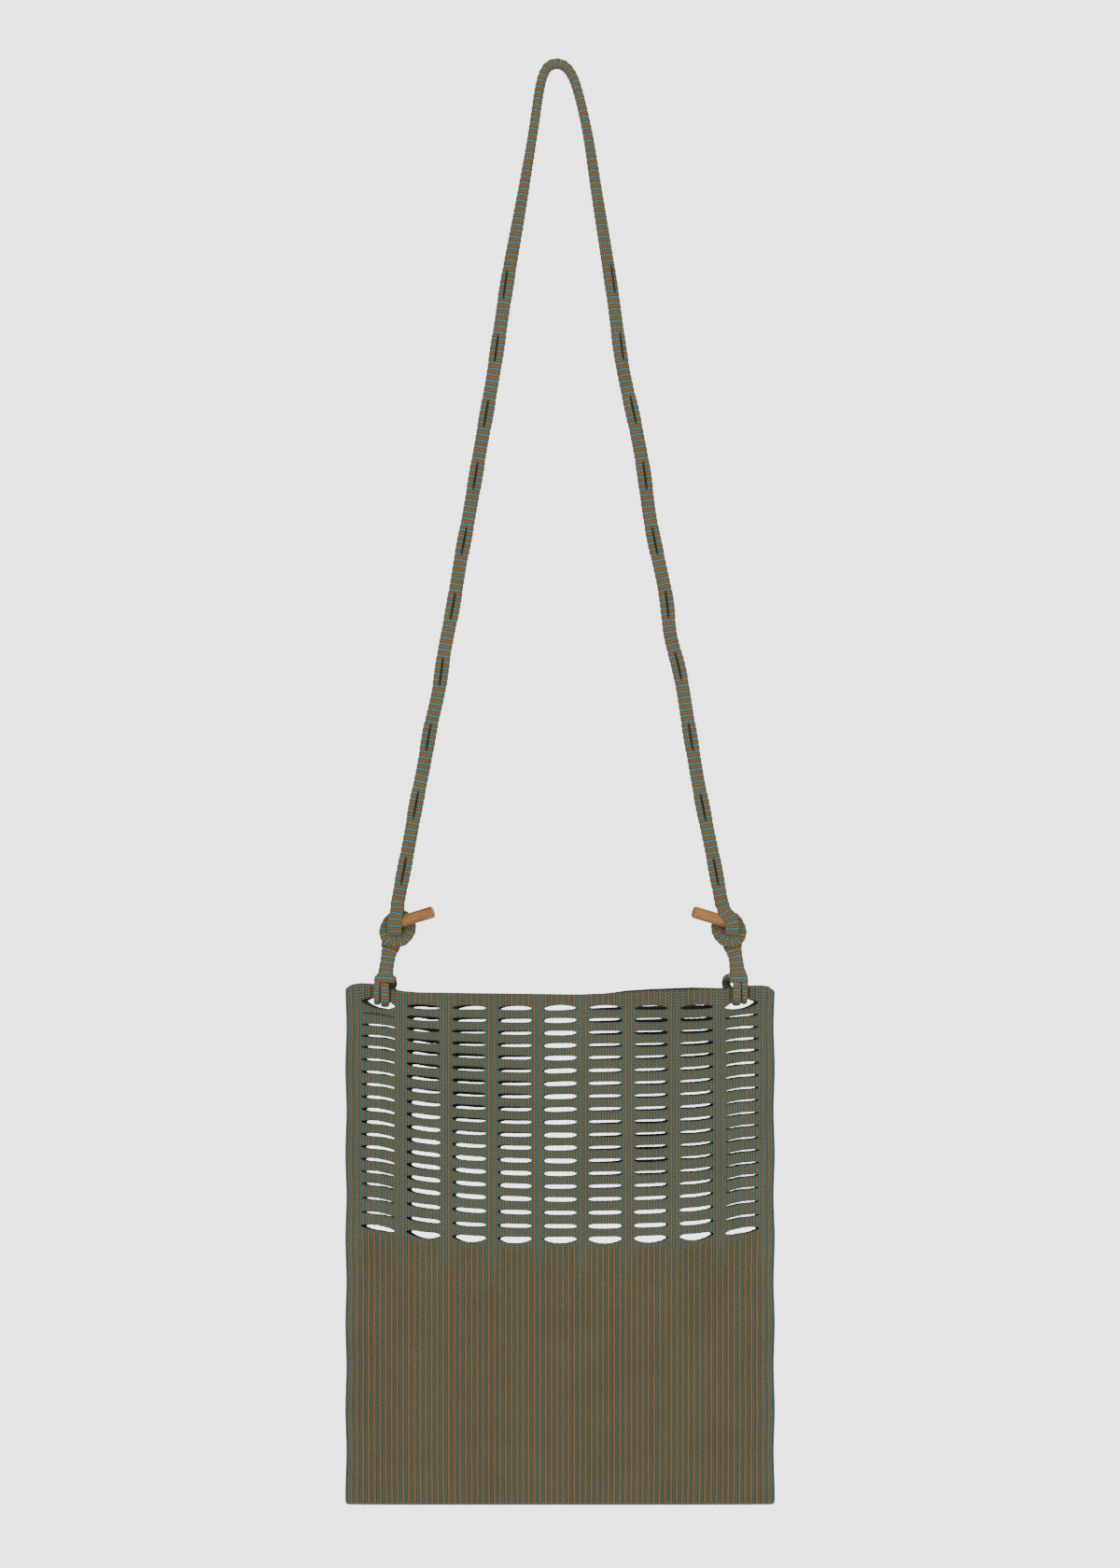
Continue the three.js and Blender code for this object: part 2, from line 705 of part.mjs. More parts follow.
const bag = new THREE.Group();
bag.add(named('pouch', pouch(), FINISH.pouch));
bag.add(named('shoulder_strap', shoulderStrap(), FINISH.strap));
Object.keys(SIDES).forEach((name) => {
  bag.add(named(`leader_${name}`, leader(SIDES[name]), FINISH.leader));
  bag.add(toggle(name));
});

export default bag;
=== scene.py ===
"""An open-weave shoulder bag of ribbed knit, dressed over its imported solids.

Sizes in the classes are millimetres and turn to metres where a mesh is made. +X is to the right
of the front, +Y away from the viewer and +Z up. The origin is under the strap's bend.
"""

from __future__ import annotations

import logging
import math
from dataclasses import dataclass, field
from enum import Enum

import bpy
import numpy as np
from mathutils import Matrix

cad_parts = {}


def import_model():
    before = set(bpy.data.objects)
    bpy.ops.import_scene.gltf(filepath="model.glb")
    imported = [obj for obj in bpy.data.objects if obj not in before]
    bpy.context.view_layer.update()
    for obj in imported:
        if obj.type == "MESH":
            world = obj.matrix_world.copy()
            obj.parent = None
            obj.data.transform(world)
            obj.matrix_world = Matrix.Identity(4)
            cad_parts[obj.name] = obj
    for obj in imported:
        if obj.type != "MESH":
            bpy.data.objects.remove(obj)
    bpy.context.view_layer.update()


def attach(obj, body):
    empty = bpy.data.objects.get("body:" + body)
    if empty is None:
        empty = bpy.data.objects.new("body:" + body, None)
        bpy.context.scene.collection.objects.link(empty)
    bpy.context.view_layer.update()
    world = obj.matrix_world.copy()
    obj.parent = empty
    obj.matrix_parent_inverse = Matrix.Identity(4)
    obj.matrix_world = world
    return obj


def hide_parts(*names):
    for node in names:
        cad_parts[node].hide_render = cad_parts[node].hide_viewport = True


Tree = bpy.types.NodeTree
Socket = bpy.types.NodeSocket
LOG = logging.getLogger("shoulder_bag")
MM = 0.001
BODY = "root"
KNIT_UV = "knit"
STRETCH = "stretch"
# Per-point painted shade: 0 leaves the knit's colour, 1 darkens it to the knit's depth_light
PAINTED_SHADE = "hollow"
RIB_EASE = (0.12, 0.36)  # shares of the pitch from a groove between which a rib rises
CURVE_STEPS = 60  # steps that a curve's length is measured in, between two of its rows
OVAL_POWER = 0.8  # how far a band's section is squared from an ellipse
# Angles in the first quarter turn round a band, and closer ones for a band with buttonholes
QUARTER_TURN = (0.0, 14.0, 28.0, 42.0, 56.0, 70.0, 80.0)
SLOT_QUARTER_TURN = (0.0, 14.0, 28.0, 42.0, 55.0, 66.0, 75.0, 82.0, 86.5)


class Face(Enum):
    """The side of the pouch that a panel makes, by its direction along Y."""

    FRONT = -1
    BACK = 1


class Side(Enum):
    """The knot's side of the bag, by its direction along X."""

    LEFT = -1
    RIGHT = 1


# Colour and node helpers


def linear(hex_colour: str) -> tuple[float, float, float, float]:
    """Turns an sRGB hex value to linear RGBA.

    Args:
        hex_colour: A value such as "#87623A".

    Returns:
        The linear red, green, blue and an alpha of 1.
    """
    parts = [int(hex_colour[i : i + 2], 16) / 255 for i in (1, 3, 5)]
    low = [c / 12.92 if c <= 0.04045 else ((c + 0.055) / 1.055) ** 2.4 for c in parts]
    return (low[0], low[1], low[2], 1.0)


def add_node(
    tree: Tree,
    kind: str,
    settings: dict[str, object] | None = None,
    inputs: dict[str | int, object] | None = None,
) -> bpy.types.Node:
    """Adds a node with its settings and its links or values.

    Args:
        tree: The node tree that takes the node.
        kind: The node's type name.
        settings: Attributes of the node.
        inputs: Input name or place, with an output socket to link, a node whose first output is
            linked, or a value to set.

    Returns:
        The new node.
    """
    node = tree.nodes.new(kind)
    for key, value in (settings or {}).items():
        setattr(node, key, value)
    for key, value in (inputs or {}).items():
        if isinstance(value, bpy.types.Node):
            value = value.outputs[0]
        if isinstance(value, Socket):
            tree.links.new(value, node.inputs[key])
        else:
            node.inputs[key].default_value = value
    return node


def set_ramp(node: bpy.types.Node, stops: list[tuple[float, str]]) -> None:
    """Sets a colour ramp's stops.

    Args:
        node: A colour ramp node.
        stops: Places from 0 to 1 with their hex colours, in order.
    """
    elements = node.color_ramp.elements
    while len(elements) < len(stops):
        elements.new(1.0)
    for element, (place, colour) in zip(elements, stops):
        element.position = place
        element.color = linear(colour)


def empty_material(name: str) -> bpy.types.Material:
    """Makes a material whose node tree is empty.

    Args:
        name: The material's name.

    Returns:
        The material.
    """
    material = bpy.data.materials.new(name)
    material.use_nodes = True
    material.node_tree.nodes.clear()
    return material


# Shape helpers


def smooth_step(low: float, high: float, value: np.ndarray) -> np.ndarray:
    """Eases from 0 at low to 1 at high.

    The formula is t squared times three less two t, with t the clipped share of the way.
    """
    t = np.clip((value - low) / (high - low), 0.0, 1.0)
    return t * t * (3.0 - 2.0 * t)


def rib_profile(ribs: np.ndarray) -> np.ndarray:
    """Height of the knit's ribs, 0 in a groove and 1 on a crest.

    The phase is the fraction of a rib pitch; the height eases up from the groove at 0 and 1 to
    a crest that is flat over the middle third.
    """
    phase = ribs - np.floor(ribs)
    return smooth_step(*RIB_EASE, 0.5 - np.abs(phase - 0.5))


@dataclass
class Surface:
    """A mesh in the making: points in millimetres, faces and what the finish reads."""

    points: np.ndarray
    quads: np.ndarray
    quad_uv: np.ndarray
    triangles: np.ndarray = field(default_factory=lambda: np.zeros((0, 3), int))
    triangle_uv: np.ndarray = field(default_factory=lambda: np.zeros((0, 3, 2)))
    stretch: np.ndarray | None = None
    # painted shade per point, 0 to 1
    hollow: np.ndarray | None = None

    def to_object(self, name: str) -> bpy.types.Object:
        """Puts the surface into a mesh object at the origin.

        Args:
            name: The object's name.

        Returns:
            The object, linked to the scene, smooth shaded.
        """
        mesh = bpy.data.meshes.new(name)
        quads, triangles = self.quads, self.triangles
        mesh.vertices.add(len(self.points))
        mesh.vertices.foreach_set("co", (self.points * MM).astype(np.float32).ravel())
        corners = np.concatenate([quads.ravel(), triangles.ravel()]).astype(np.int32)
        mesh.loops.add(len(corners))
        mesh.loops.foreach_set("vertex_index", corners)
        totals = np.concatenate([np.full(len(quads), 4), np.full(len(triangles), 3)])
        starts = np.concatenate([[0], np.cumsum(totals)[:-1]])
        mesh.polygons.add(len(totals))
        mesh.polygons.foreach_set("loop_start", starts.astype(np.int32))
        mesh.polygons.foreach_set("use_smooth", np.ones(len(totals), bool))
        mesh.update(calc_edges=True)
        uv = np.concatenate([self.quad_uv.reshape(-1, 2), self.triangle_uv.reshape(-1, 2)])
        layer = mesh.uv_layers.new(name=KNIT_UV)
        layer.data.foreach_set("uv", uv.astype(np.float32).ravel())
        for label, values in ((STRETCH, self.stretch), (PAINTED_SHADE, self.hollow)):
            if values is not None:
                attribute = mesh.attributes.new(label, "FLOAT", "POINT")
                attribute.data.foreach_set("value", values.astype(np.float32).ravel())
        mesh.validate()
        made = bpy.data.objects.new(name, mesh)
        bpy.context.scene.collection.objects.link(made)
        return made


def along_curve(rows: np.ndarray, count: int, closed: bool) -> np.ndarray:
    """Points evenly spaced along a smooth curve through rows.

    Each stretch is a cubic whose end slopes come from the neighbouring points, weighted by the
    square root of their distances, so that the curve neither loops nor cusps.

    Args:
        rows: Points that the curve passes through.
        count: How many points to give.
        closed: Whether the curve runs back to its start.

    Returns:
        The points, the first one not repeated where the curve is closed.
    """
    if closed:
        padded = np.concatenate([rows[-1:], rows, rows[:2]])
    else:
        padded = np.concatenate([2 * rows[:1] - rows[1:2], rows, 2 * rows[-1:] - rows[-2:-1]])
    p0, p1, p2, p3 = padded[:-3], padded[1:-2], padded[2:-1], padded[3:]
    d0, d1, d2 = np.linalg.norm(np.diff([p0, p1, p2, p3], axis=0), axis=2)[:, :, None] ** 0.5
    m1 = ((p1 - p0) / d0 - (p2 - p0) / (d0 + d1) + (p2 - p1) / d1) * d1
    m2 = ((p2 - p1) / d1 - (p3 - p1) / (d1 + d2) + (p3 - p2) / d2) * d1
    t = np.linspace(0, 1, CURVE_STEPS, endpoint=False)[None, :, None]
    fine = (
        (2 * t**3 - 3 * t**2 + 1) * p1[:, None]
        + (t**3 - 2 * t**2 + t) * m1[:, None]
        + (-2 * t**3 + 3 * t**2) * p2[:, None]
        + (t**3 - t**2) * m2[:, None]
    ).reshape(-1, rows.shape[1])
    fine = np.concatenate([fine, p2[-1:]])
    gone = np.concatenate([[0], np.cumsum(np.linalg.norm(np.diff(fine[:, :3], axis=0), axis=1))])
    wanted = np.linspace(0, gone[-1], count, endpoint=not closed)
    return np.stack([np.interp(wanted, gone, fine[:, k]) for k in range(rows.shape[1])], axis=1)


def tube_quads(rows: int, count: int, sides: int) -> np.ndarray:
    """Faces of a tube.

    A point's number is its ring's number times the sides, plus its own place round the ring.

    Args:
        rows: How many stretches between rings are covered.
        count: How many rings there are; the last runs on to the first where rows is as many.
        sides: Points in each ring.

    Returns:
        Point numbers, faces by 4.
    """
    i, k = np.arange(rows)[:, None], np.arange(sides)[None]
    after, beside = (i + 1) % count, (k + 1) % sides
    corners = (i * sides + k, after * sides + k, after * sides + beside, i * sides + beside)
    return np.stack(corners, axis=-1).reshape(-1, 4)


def tube_ends(count: int, sides: int) -> np.ndarray:
    """Triangles that close a tube's ends, fanned from the two points that follow its rings.

    Args:
        count: How many rings there are.
        sides: Points in each ring.

    Returns:
        Point numbers, faces by 3.
    """
    k = np.arange(sides)
    beside, last = (k + 1) % sides, (count - 1) * sides
    middle = np.full(sides, count * sides)
    fans = ((middle, k, beside), (middle + 1, last + beside, last + k))
    return np.concatenate([np.stack(fan, -1) for fan in fans])


def section_angles(quarter: tuple[float, ...]) -> np.ndarray:
    """Angles round a flat oval, from one quarter turn's angles in degrees.

    Args:
        quarter: The first quarter turn's angles, from 0 on.

    Returns:
        The angles in radians, once round.
    """
    first = np.array(quarter)
    half = np.concatenate([first, [90.0], 180.0 - first[:0:-1]])
    return np.radians(np.concatenate([half, half + 180.0]))


@dataclass
class KnitBand:
    """A narrow tubular knit carried along a path, with crosswise ribs."""

    path: np.ndarray
    wide: np.ndarray
    half_width: np.ndarray
    half_thickness: np.ndarray
    closed: bool
    rib_pitch: float = 4.03
    rib_height: float = 0.22
    rib_middle: float = 0.6  # share of a rib's height at which the band has its given size
    end_reach: float = 1.3  # length of a rounded end in half thicknesses
    end_width: float = 0.55  # share of the width that is left at its tip
    end_least: float = 0.01  # keeps the last ring open
    stretch: float = 0.5
    round_ends: tuple[bool, bool] = (False, False)
    quarter: tuple[float, ...] = QUARTER_TURN

    def stations(self) -> tuple[np.ndarray, float]:
        """Distance along the path at each station, and the path's whole length.

        Returns:
            The distances, and the length with its closing stretch where closed.
        """
        steps = np.linalg.norm(np.roll(self.path, -1, axis=0) - self.path, axis=1)
        gone = np.concatenate([[0], np.cumsum(steps)])
        return gone[:-1], float(gone[-1] if self.closed else gone[-2])

    def frames(self) -> tuple[np.ndarray, np.ndarray]:
        """Unit directions across the band and through it at each station.

        Returns:
            The directions across, and the directions through.
        """
        if self.closed:
            along = np.roll(self.path, -1, axis=0) - np.roll(self.path, 1, axis=0)
        else:
            along = np.gradient(self.path, axis=0)
        along /= np.linalg.norm(along, axis=1)[:, None]
        depth = np.cross(along, self.wide)
        depth /= np.linalg.norm(depth, axis=1)[:, None]
        return np.cross(depth, along), depth

    def surface(self, groove: np.ndarray | None = None) -> Surface:
        """Carries a flat oval along the path.

        A point is the path's place, plus the width direction times the signed oval power of the
        cosine times the half width, plus the depth direction times the same of the sine times
        the half thickness. Ribs add their height outward on both.

        Args:
            groove: How deep each point lies pushed inward, per station and side; the same depth in
                millimetres, clipped to 1, is painted as shade.

        Returns:
            The closed surface.
        """
        path, count = self.path, len(self.path)
        gone, length = self.stations()
        wide, depth = self.frames()
        pitch = length / max(round(length / self.rib_pitch), 1) if self.closed else self.rib_pitch
        ribs = gone / pitch
        rise = self.rib_height * (rib_profile(ribs) - self.rib_middle)
        taper = np.ones(count)
        for end, at in zip(self.round_ends, (gone, length - gone)):
            if end:
                reach = np.clip(at / (self.end_reach * self.half_thickness), 0, 1)
                taper *= np.sqrt(np.clip(1 - (1 - reach) ** 2, self.end_least, 1))
        angle = section_angles(self.quarter)
        sides = len(angle)
        across = np.sign(np.cos(angle)) * np.abs(np.cos(angle)) ** OVAL_POWER
        through = np.sign(np.sin(angle)) * np.abs(np.sin(angle)) ** OVAL_POWER
        a = (self.half_width + rise) * (self.end_width + (1 - self.end_width) * taper)
        b = (self.half_thickness + rise) * taper
        sink = np.zeros((count, sides)) if groove is None else groove
        lie = np.sign(through) * np.maximum(np.abs(through * b[:, None]) - sink, 0)
        points = path[:, None] + wide[:, None] * (across * a[:, None])[..., None]
        points = points + depth[:, None] * lie[..., None]
        rows = count if self.closed else count - 1
        outline = np.stack([across * a.mean(), through * b.mean()], -1)
        around = np.linalg.norm(np.roll(outline, -1, axis=0) - outline, axis=1)
        around = np.concatenate([[0], np.cumsum(around)])
        u, v = np.meshgrid(np.append(ribs, length / pitch), around, indexing="ij")
        knit = np.stack([u, v], -1)
        here, there = knit[:rows], knit[1 : rows + 1]
        quad_uv = np.stack([here[:, :-1], there[:, :-1], there[:, 1:], here[:, 1:]], axis=2)
        flat = points.reshape(-1, 3)
        surface = Surface(flat, tube_quads(rows, count, sides), quad_uv.reshape(-1, 4, 2))
        if not self.closed:
            surface.points = np.concatenate([flat, path[:1], path[-1:]])
            surface.triangles = tube_ends(count, sides)
            surface.triangle_uv = np.zeros((2 * sides, 3, 2))
            surface.triangle_uv[sides:, :, 0] = length / pitch
        surface.stretch = np.full(len(surface.points), self.stretch)
        surface.hollow = np.zeros(len(surface.points))
        # Painted shade in the sunk grooves: darker the deeper they sink, full from 1 mm
        if groove is not None:
            surface.hollow[: count * sides] = np.clip(groove.ravel(), 0, 1)
        return facing_out(surface)


def facing_out(surface: Surface) -> Surface:
    """Turns all faces over where the surface's volume, by the divergence theorem, is negative.

    Args:
        surface: A closed surface, changed in place.

    Returns:
        The same surface.
    """
    p, q = surface.points, surface.quads
    volume = np.einsum("ij,ij->", p[q[:, 0]], np.cross(p[q[:, 1]], p[q[:, 2]]))
    volume += np.einsum("ij,ij->", p[q[:, 0]], np.cross(p[q[:, 2]], p[q[:, 3]]))
    if volume < 0:
        surface.quads = surface.quads[:, ::-1]
        surface.quad_uv = surface.quad_uv[:, ::-1]
        surface.triangles = surface.triangles[:, ::-1]
        surface.triangle_uv = surface.triangle_uv[:, ::-1]
    return surface


# Finishes


@dataclass(frozen=True)
class PlatedKnit:
    """Wool and cotton knitted in ribs: brown yarn on the crests, teal yarn down in the grooves.

    The brown stands proud and is dull; the teal shows as bright ticks between the ribs, more so
    where the knit is stretched.
    """

    name: str
    brown: str = "#77562D"
    # Painted highlight along the middle of each rib's crest
    brown_painted_highlight: str = "#856237"
    # Painted shade in the crease where each rib's brown drops into the groove
    edge: str = "#352E20"
    teal: str = "#45625F"
    teal_bright: str = "#3F7074"
    stitch: float = 1.45  # mm between the ladder lines in the grooves
    crest: float = 0.4  # share of the rib pitch in brown yarn
    bright_gap: float = 0.06  # share of the rib pitch by which the brown narrows where stretched
    edge_near: float = 0.075  # the painted shade line's middle and outer end, as shares from the brown
    edge_far: float = 0.14
    fuzz: float = 260.0  # waves a metre of the straying yarns, one every 3.8 mm
    patches: float = 34.0  # waves a metre of the slow change of tone, one every 29 mm
    wobble: float = 0.08  # share of the rib pitch by which the yarns stray
    ticks: tuple[float, float] = (0.35, 1.15)  # how strongly the stitches' painted light and shade shows on crests and in grooves
    tick_ease: float = 0.12  # share of the rib pitch between those two
    cloud: float = 0.14  # spread of a slow change of tone
    depth_light: float = 0.12  # share of the colour left under full painted shade

    def build(self) -> bpy.types.Material:
        """Makes the material from the knit map: ribs across in U, millimetres along in V.

        Returns:
            The material.
        """
        material = empty_material(self.name)
        tree = material.node_tree
        uv = add_node(tree, "ShaderNodeUVMap", {"uv_map": KNIT_UV})
        parts = add_node(tree, "ShaderNodeSeparateXYZ", inputs={0: uv})
        place = add_node(tree, "ShaderNodeTexCoord").outputs["Object"]
        fuzz = {"Vector": place, "Scale": self.fuzz, "Detail": 2.0}
        wobble = add_node(tree, "ShaderNodeTexNoise", inputs=fuzz).outputs["Fac"]
        stray = {0: wobble, 1: 2 * self.wobble, 2: -self.wobble}
        shift = add_node(tree, "ShaderNodeMath", {"operation": "MULTIPLY_ADD"}, stray)
        ribs = {0: parts.outputs["X"], 1: shift}
        shifted = add_node(tree, "ShaderNodeMath", {"operation": "ADD"}, ribs)
        phase = add_node(tree, "ShaderNodeMath", {"operation": "FRACT"}, {0: shifted}).outputs[0]
        plain, bright, groove = (
            add_node(tree, "ShaderNodeValToRGB", inputs={0: phase}) for _ in range(3)
        )
        set_ramp(plain, self.stops(self.teal, self.crest))
        set_ramp(bright, self.stops(self.teal_bright, self.crest - self.bright_gap))
        start = 0.5 - self.crest / 2
        places = (0.0, start - self.tick_ease, start, 1 - start, 1 - start + self.tick_ease, 1.0)
        greys = ("#FFFFFF", "#FFFFFF", "#000000", "#000000", "#FFFFFF", "#FFFFFF")
        set_ramp(groove, list(zip(places, greys)))
        stretch = add_node(tree, "ShaderNodeAttribute", {"attribute_name": STRETCH}).outputs["Fac"]
        yarn = add_node(tree, "ShaderNodeMix", {"data_type": "RGBA"}, {0: stretch, 6: plain, 7: bright})
        # The stitches are the knit's own; their light and dark here is painted light and shade, following
        # each stitch's height, stronger in the grooves
        ticks = self.stitches(tree, phase, parts.outputs["Y"])
        low, high = self.ticks
        contrast = add_node(tree, "ShaderNodeMapRange", inputs={0: groove, 3: low, 4: high})
        signed = add_node(tree, "ShaderNodeMath", {"operation": "SUBTRACT"}, {0: ticks, 1: 0.5})
        marks = {0: signed, 1: contrast, 2: 1.0}
        light = add_node(tree, "ShaderNodeMath", {"operation": "MULTIPLY_ADD"}, marks)
        patches = {"Vector": place, "Scale": self.patches, "Detail": 3.0}
        cloudy = add_node(tree, "ShaderNodeTexNoise", inputs=patches).outputs["Fac"]
        tones = {0: cloudy, 3: 1 - self.cloud, 4: 1 + self.cloud}
        cloud = add_node(tree, "ShaderNodeMapRange", inputs=tones)
        # Painted shade: the colour darkens with the mesh's painted shade, down to depth_light where it is 1
        hollow = add_node(tree, "ShaderNodeAttribute", {"attribute_name": PAINTED_SHADE}).outputs["Fac"]
        shaded = add_node(tree, "ShaderNodeMapRange", inputs={0: hollow, 3: 1.0, 4: self.depth_light})
        for factor in (cloud, shaded):
            light = add_node(tree, "ShaderNodeMath", {"operation": "MULTIPLY"}, {0: light, 1: factor})
        scaled = {0: yarn.outputs[2], "Scale": light}
        colour = add_node(tree, "ShaderNodeVectorMath", {"operation": "SCALE"}, scaled)
        relief = {"Strength": 0.55, "Distance": 0.35 * MM, "Height": ticks}
        finish = {
            "Base Color": colour,
            "Roughness": 0.92,
            "Normal": add_node(tree, "ShaderNodeBump", inputs=relief),
            "Sheen Weight": 0.15,
            "Sheen Roughness": 0.5,
            "Specular IOR Level": 0.2,
        }
        shader = add_node(tree, "ShaderNodeBsdfPrincipled", inputs=finish)
        add_node(tree, "ShaderNodeOutputMaterial", inputs={0: shader})
        return material

    def stops(self, groove: str, crest: float) -> list[tuple[float, str]]:
        """Colours across one rib pitch, from groove over the crest to the next groove, with a painted shade
        line at each side of the brown and a painted highlight along its middle.

        Args:
            groove: The colour down in the groove.
            crest: Share of the pitch in brown yarn.

        Returns:
            Places from 0 to 1 with their hex colours.
        """
        start = 0.5 - crest / 2
        return [
            (0.0, groove),
            (start - self.edge_far, groove),
            (start - self.edge_near, self.edge),
            (start, self.brown),
            (0.5, self.brown_painted_highlight),
            (1 - start, self.brown),
            (1 - start + self.edge_near, self.edge),
            (1 - start + self.edge_far, groove),
            (1.0, groove),
        ]

    def stitches(self, tree: Tree, phase: Socket, along: Socket) -> Socket:
        """Stitch height: a sine along the rib whose phase slants away from the rib's middle.

        Args:
            tree: The material's nodes.
            phase: The place across one rib, 0 to 1.
            along: Millimetres along the rib.

        Returns:
            A height from 0 to 1.
        """
        centred = add_node(tree, "ShaderNodeMath", {"operation": "SUBTRACT"}, {0: phase, 1: 0.5})
        slant = add_node(tree, "ShaderNodeMath", {"operation": "ABSOLUTE"}, {0: centred})
        climb = {0: along, 1: 1 / self.stitch, 2: slant}
        turns = add_node(tree, "ShaderNodeMath", {"operation": "MULTIPLY_ADD"}, climb)
        wave = add_node(tree, "ShaderNodeMath", {"operation": "MULTIPLY"}, {0: turns, 1: 2 * math.pi})
        sine = add_node(tree, "ShaderNodeMath", {"operation": "SINE"}, {0: wave})
        halved = {0: sine, 1: 0.5, 2: 0.5}
        return add_node(tree, "ShaderNodeMath", {"operation": "MULTIPLY_ADD"}, halved).outputs[0]


@dataclass(frozen=True)
class WaxedBeech:
    """Turned beech rubbed with wax: warm brown, fine grain along the peg, a low sheen."""

    name: str
    axis: tuple[float, float, float]
    light: str = "#B47C43"
    dark: str = "#805127"
    grain: float = 0.5  # mm between grain lines
    drawn_out: float = 0.12  # how much coarser the grain is along the peg

    def build(self) -> bpy.types.Material:
        """Makes the material, its grain stretched along the peg's own axis.

        Returns:
            The material.
        """
        material = empty_material(self.name)
        tree = material.node_tree
        x, y, z = self.axis
        place = add_node(tree, "ShaderNodeTexCoord").outputs["Object"]
        for change, value in (
            ("Rotation", (0.0, 0.0, -math.atan2(y, x))),
            ("Rotation", (0.0, math.asin(z), 0.0)),
            ("Scale", (self.drawn_out, 1.0, 1.0)),
        ):
            place = add_node(tree, "ShaderNodeMapping", inputs={"Vector": place, change: value})
        scale = 1 / (self.grain * MM)
        lines = {"Vector": place, "Scale": 0.5 * scale, "Detail": 4.0}
        fine = add_node(tree, "ShaderNodeTexNoise", inputs=lines).outputs["Fac"]
        bands = {"Vector": place, "Scale": 0.12 * scale, "Detail": 2.0}
        broad = add_node(tree, "ShaderNodeTexNoise", inputs=bands).outputs["Fac"]
        half = add_node(tree, "ShaderNodeMath", {"operation": "MULTIPLY"}, {0: fine, 1: 0.5})
        both = {0: broad, 1: 0.5, 2: half}
        total = add_node(tree, "ShaderNodeMath", {"operation": "MULTIPLY_ADD"}, both)
        colour = add_node(tree, "ShaderNodeValToRGB", inputs={0: total})
        set_ramp(colour, [(0.36, self.dark), (0.6, self.light)])
        relief = {"Strength": 0.3, "Distance": 0.1 * MM, "Height": fine}
        finish = {
            "Base Color": colour,
            "Roughness": 0.48,
            "Normal": add_node(tree, "ShaderNodeBump", inputs=relief),
            "Specular IOR Level": 0.4,
        }
        shader = add_node(tree, "ShaderNodeBsdfPrincipled", inputs=finish)
        add_node(tree, "ShaderNodeOutputMaterial", inputs={0: shader})
        return material


@dataclass(frozen=True)
class PaleGround:
    """A matt white studio ground that stands for the plain backdrop."""

    name: str
    colour: str = "#F7F7F6"

    def build(self) -> bpy.types.Material:
        """Makes a plain matt white.

        Returns:
            The material.
        """
        material = empty_material(self.name)
        tree = material.node_tree
        finish = {"Base Color": linear(self.colour), "Roughness": 1.0, "Specular IOR Level": 0.0}
        shader = add_node(tree, "ShaderNodeBsdfPrincipled", inputs=finish)
        add_node(tree, "ShaderNodeOutputMaterial", inputs={0: shader})
        return material


# The pouch


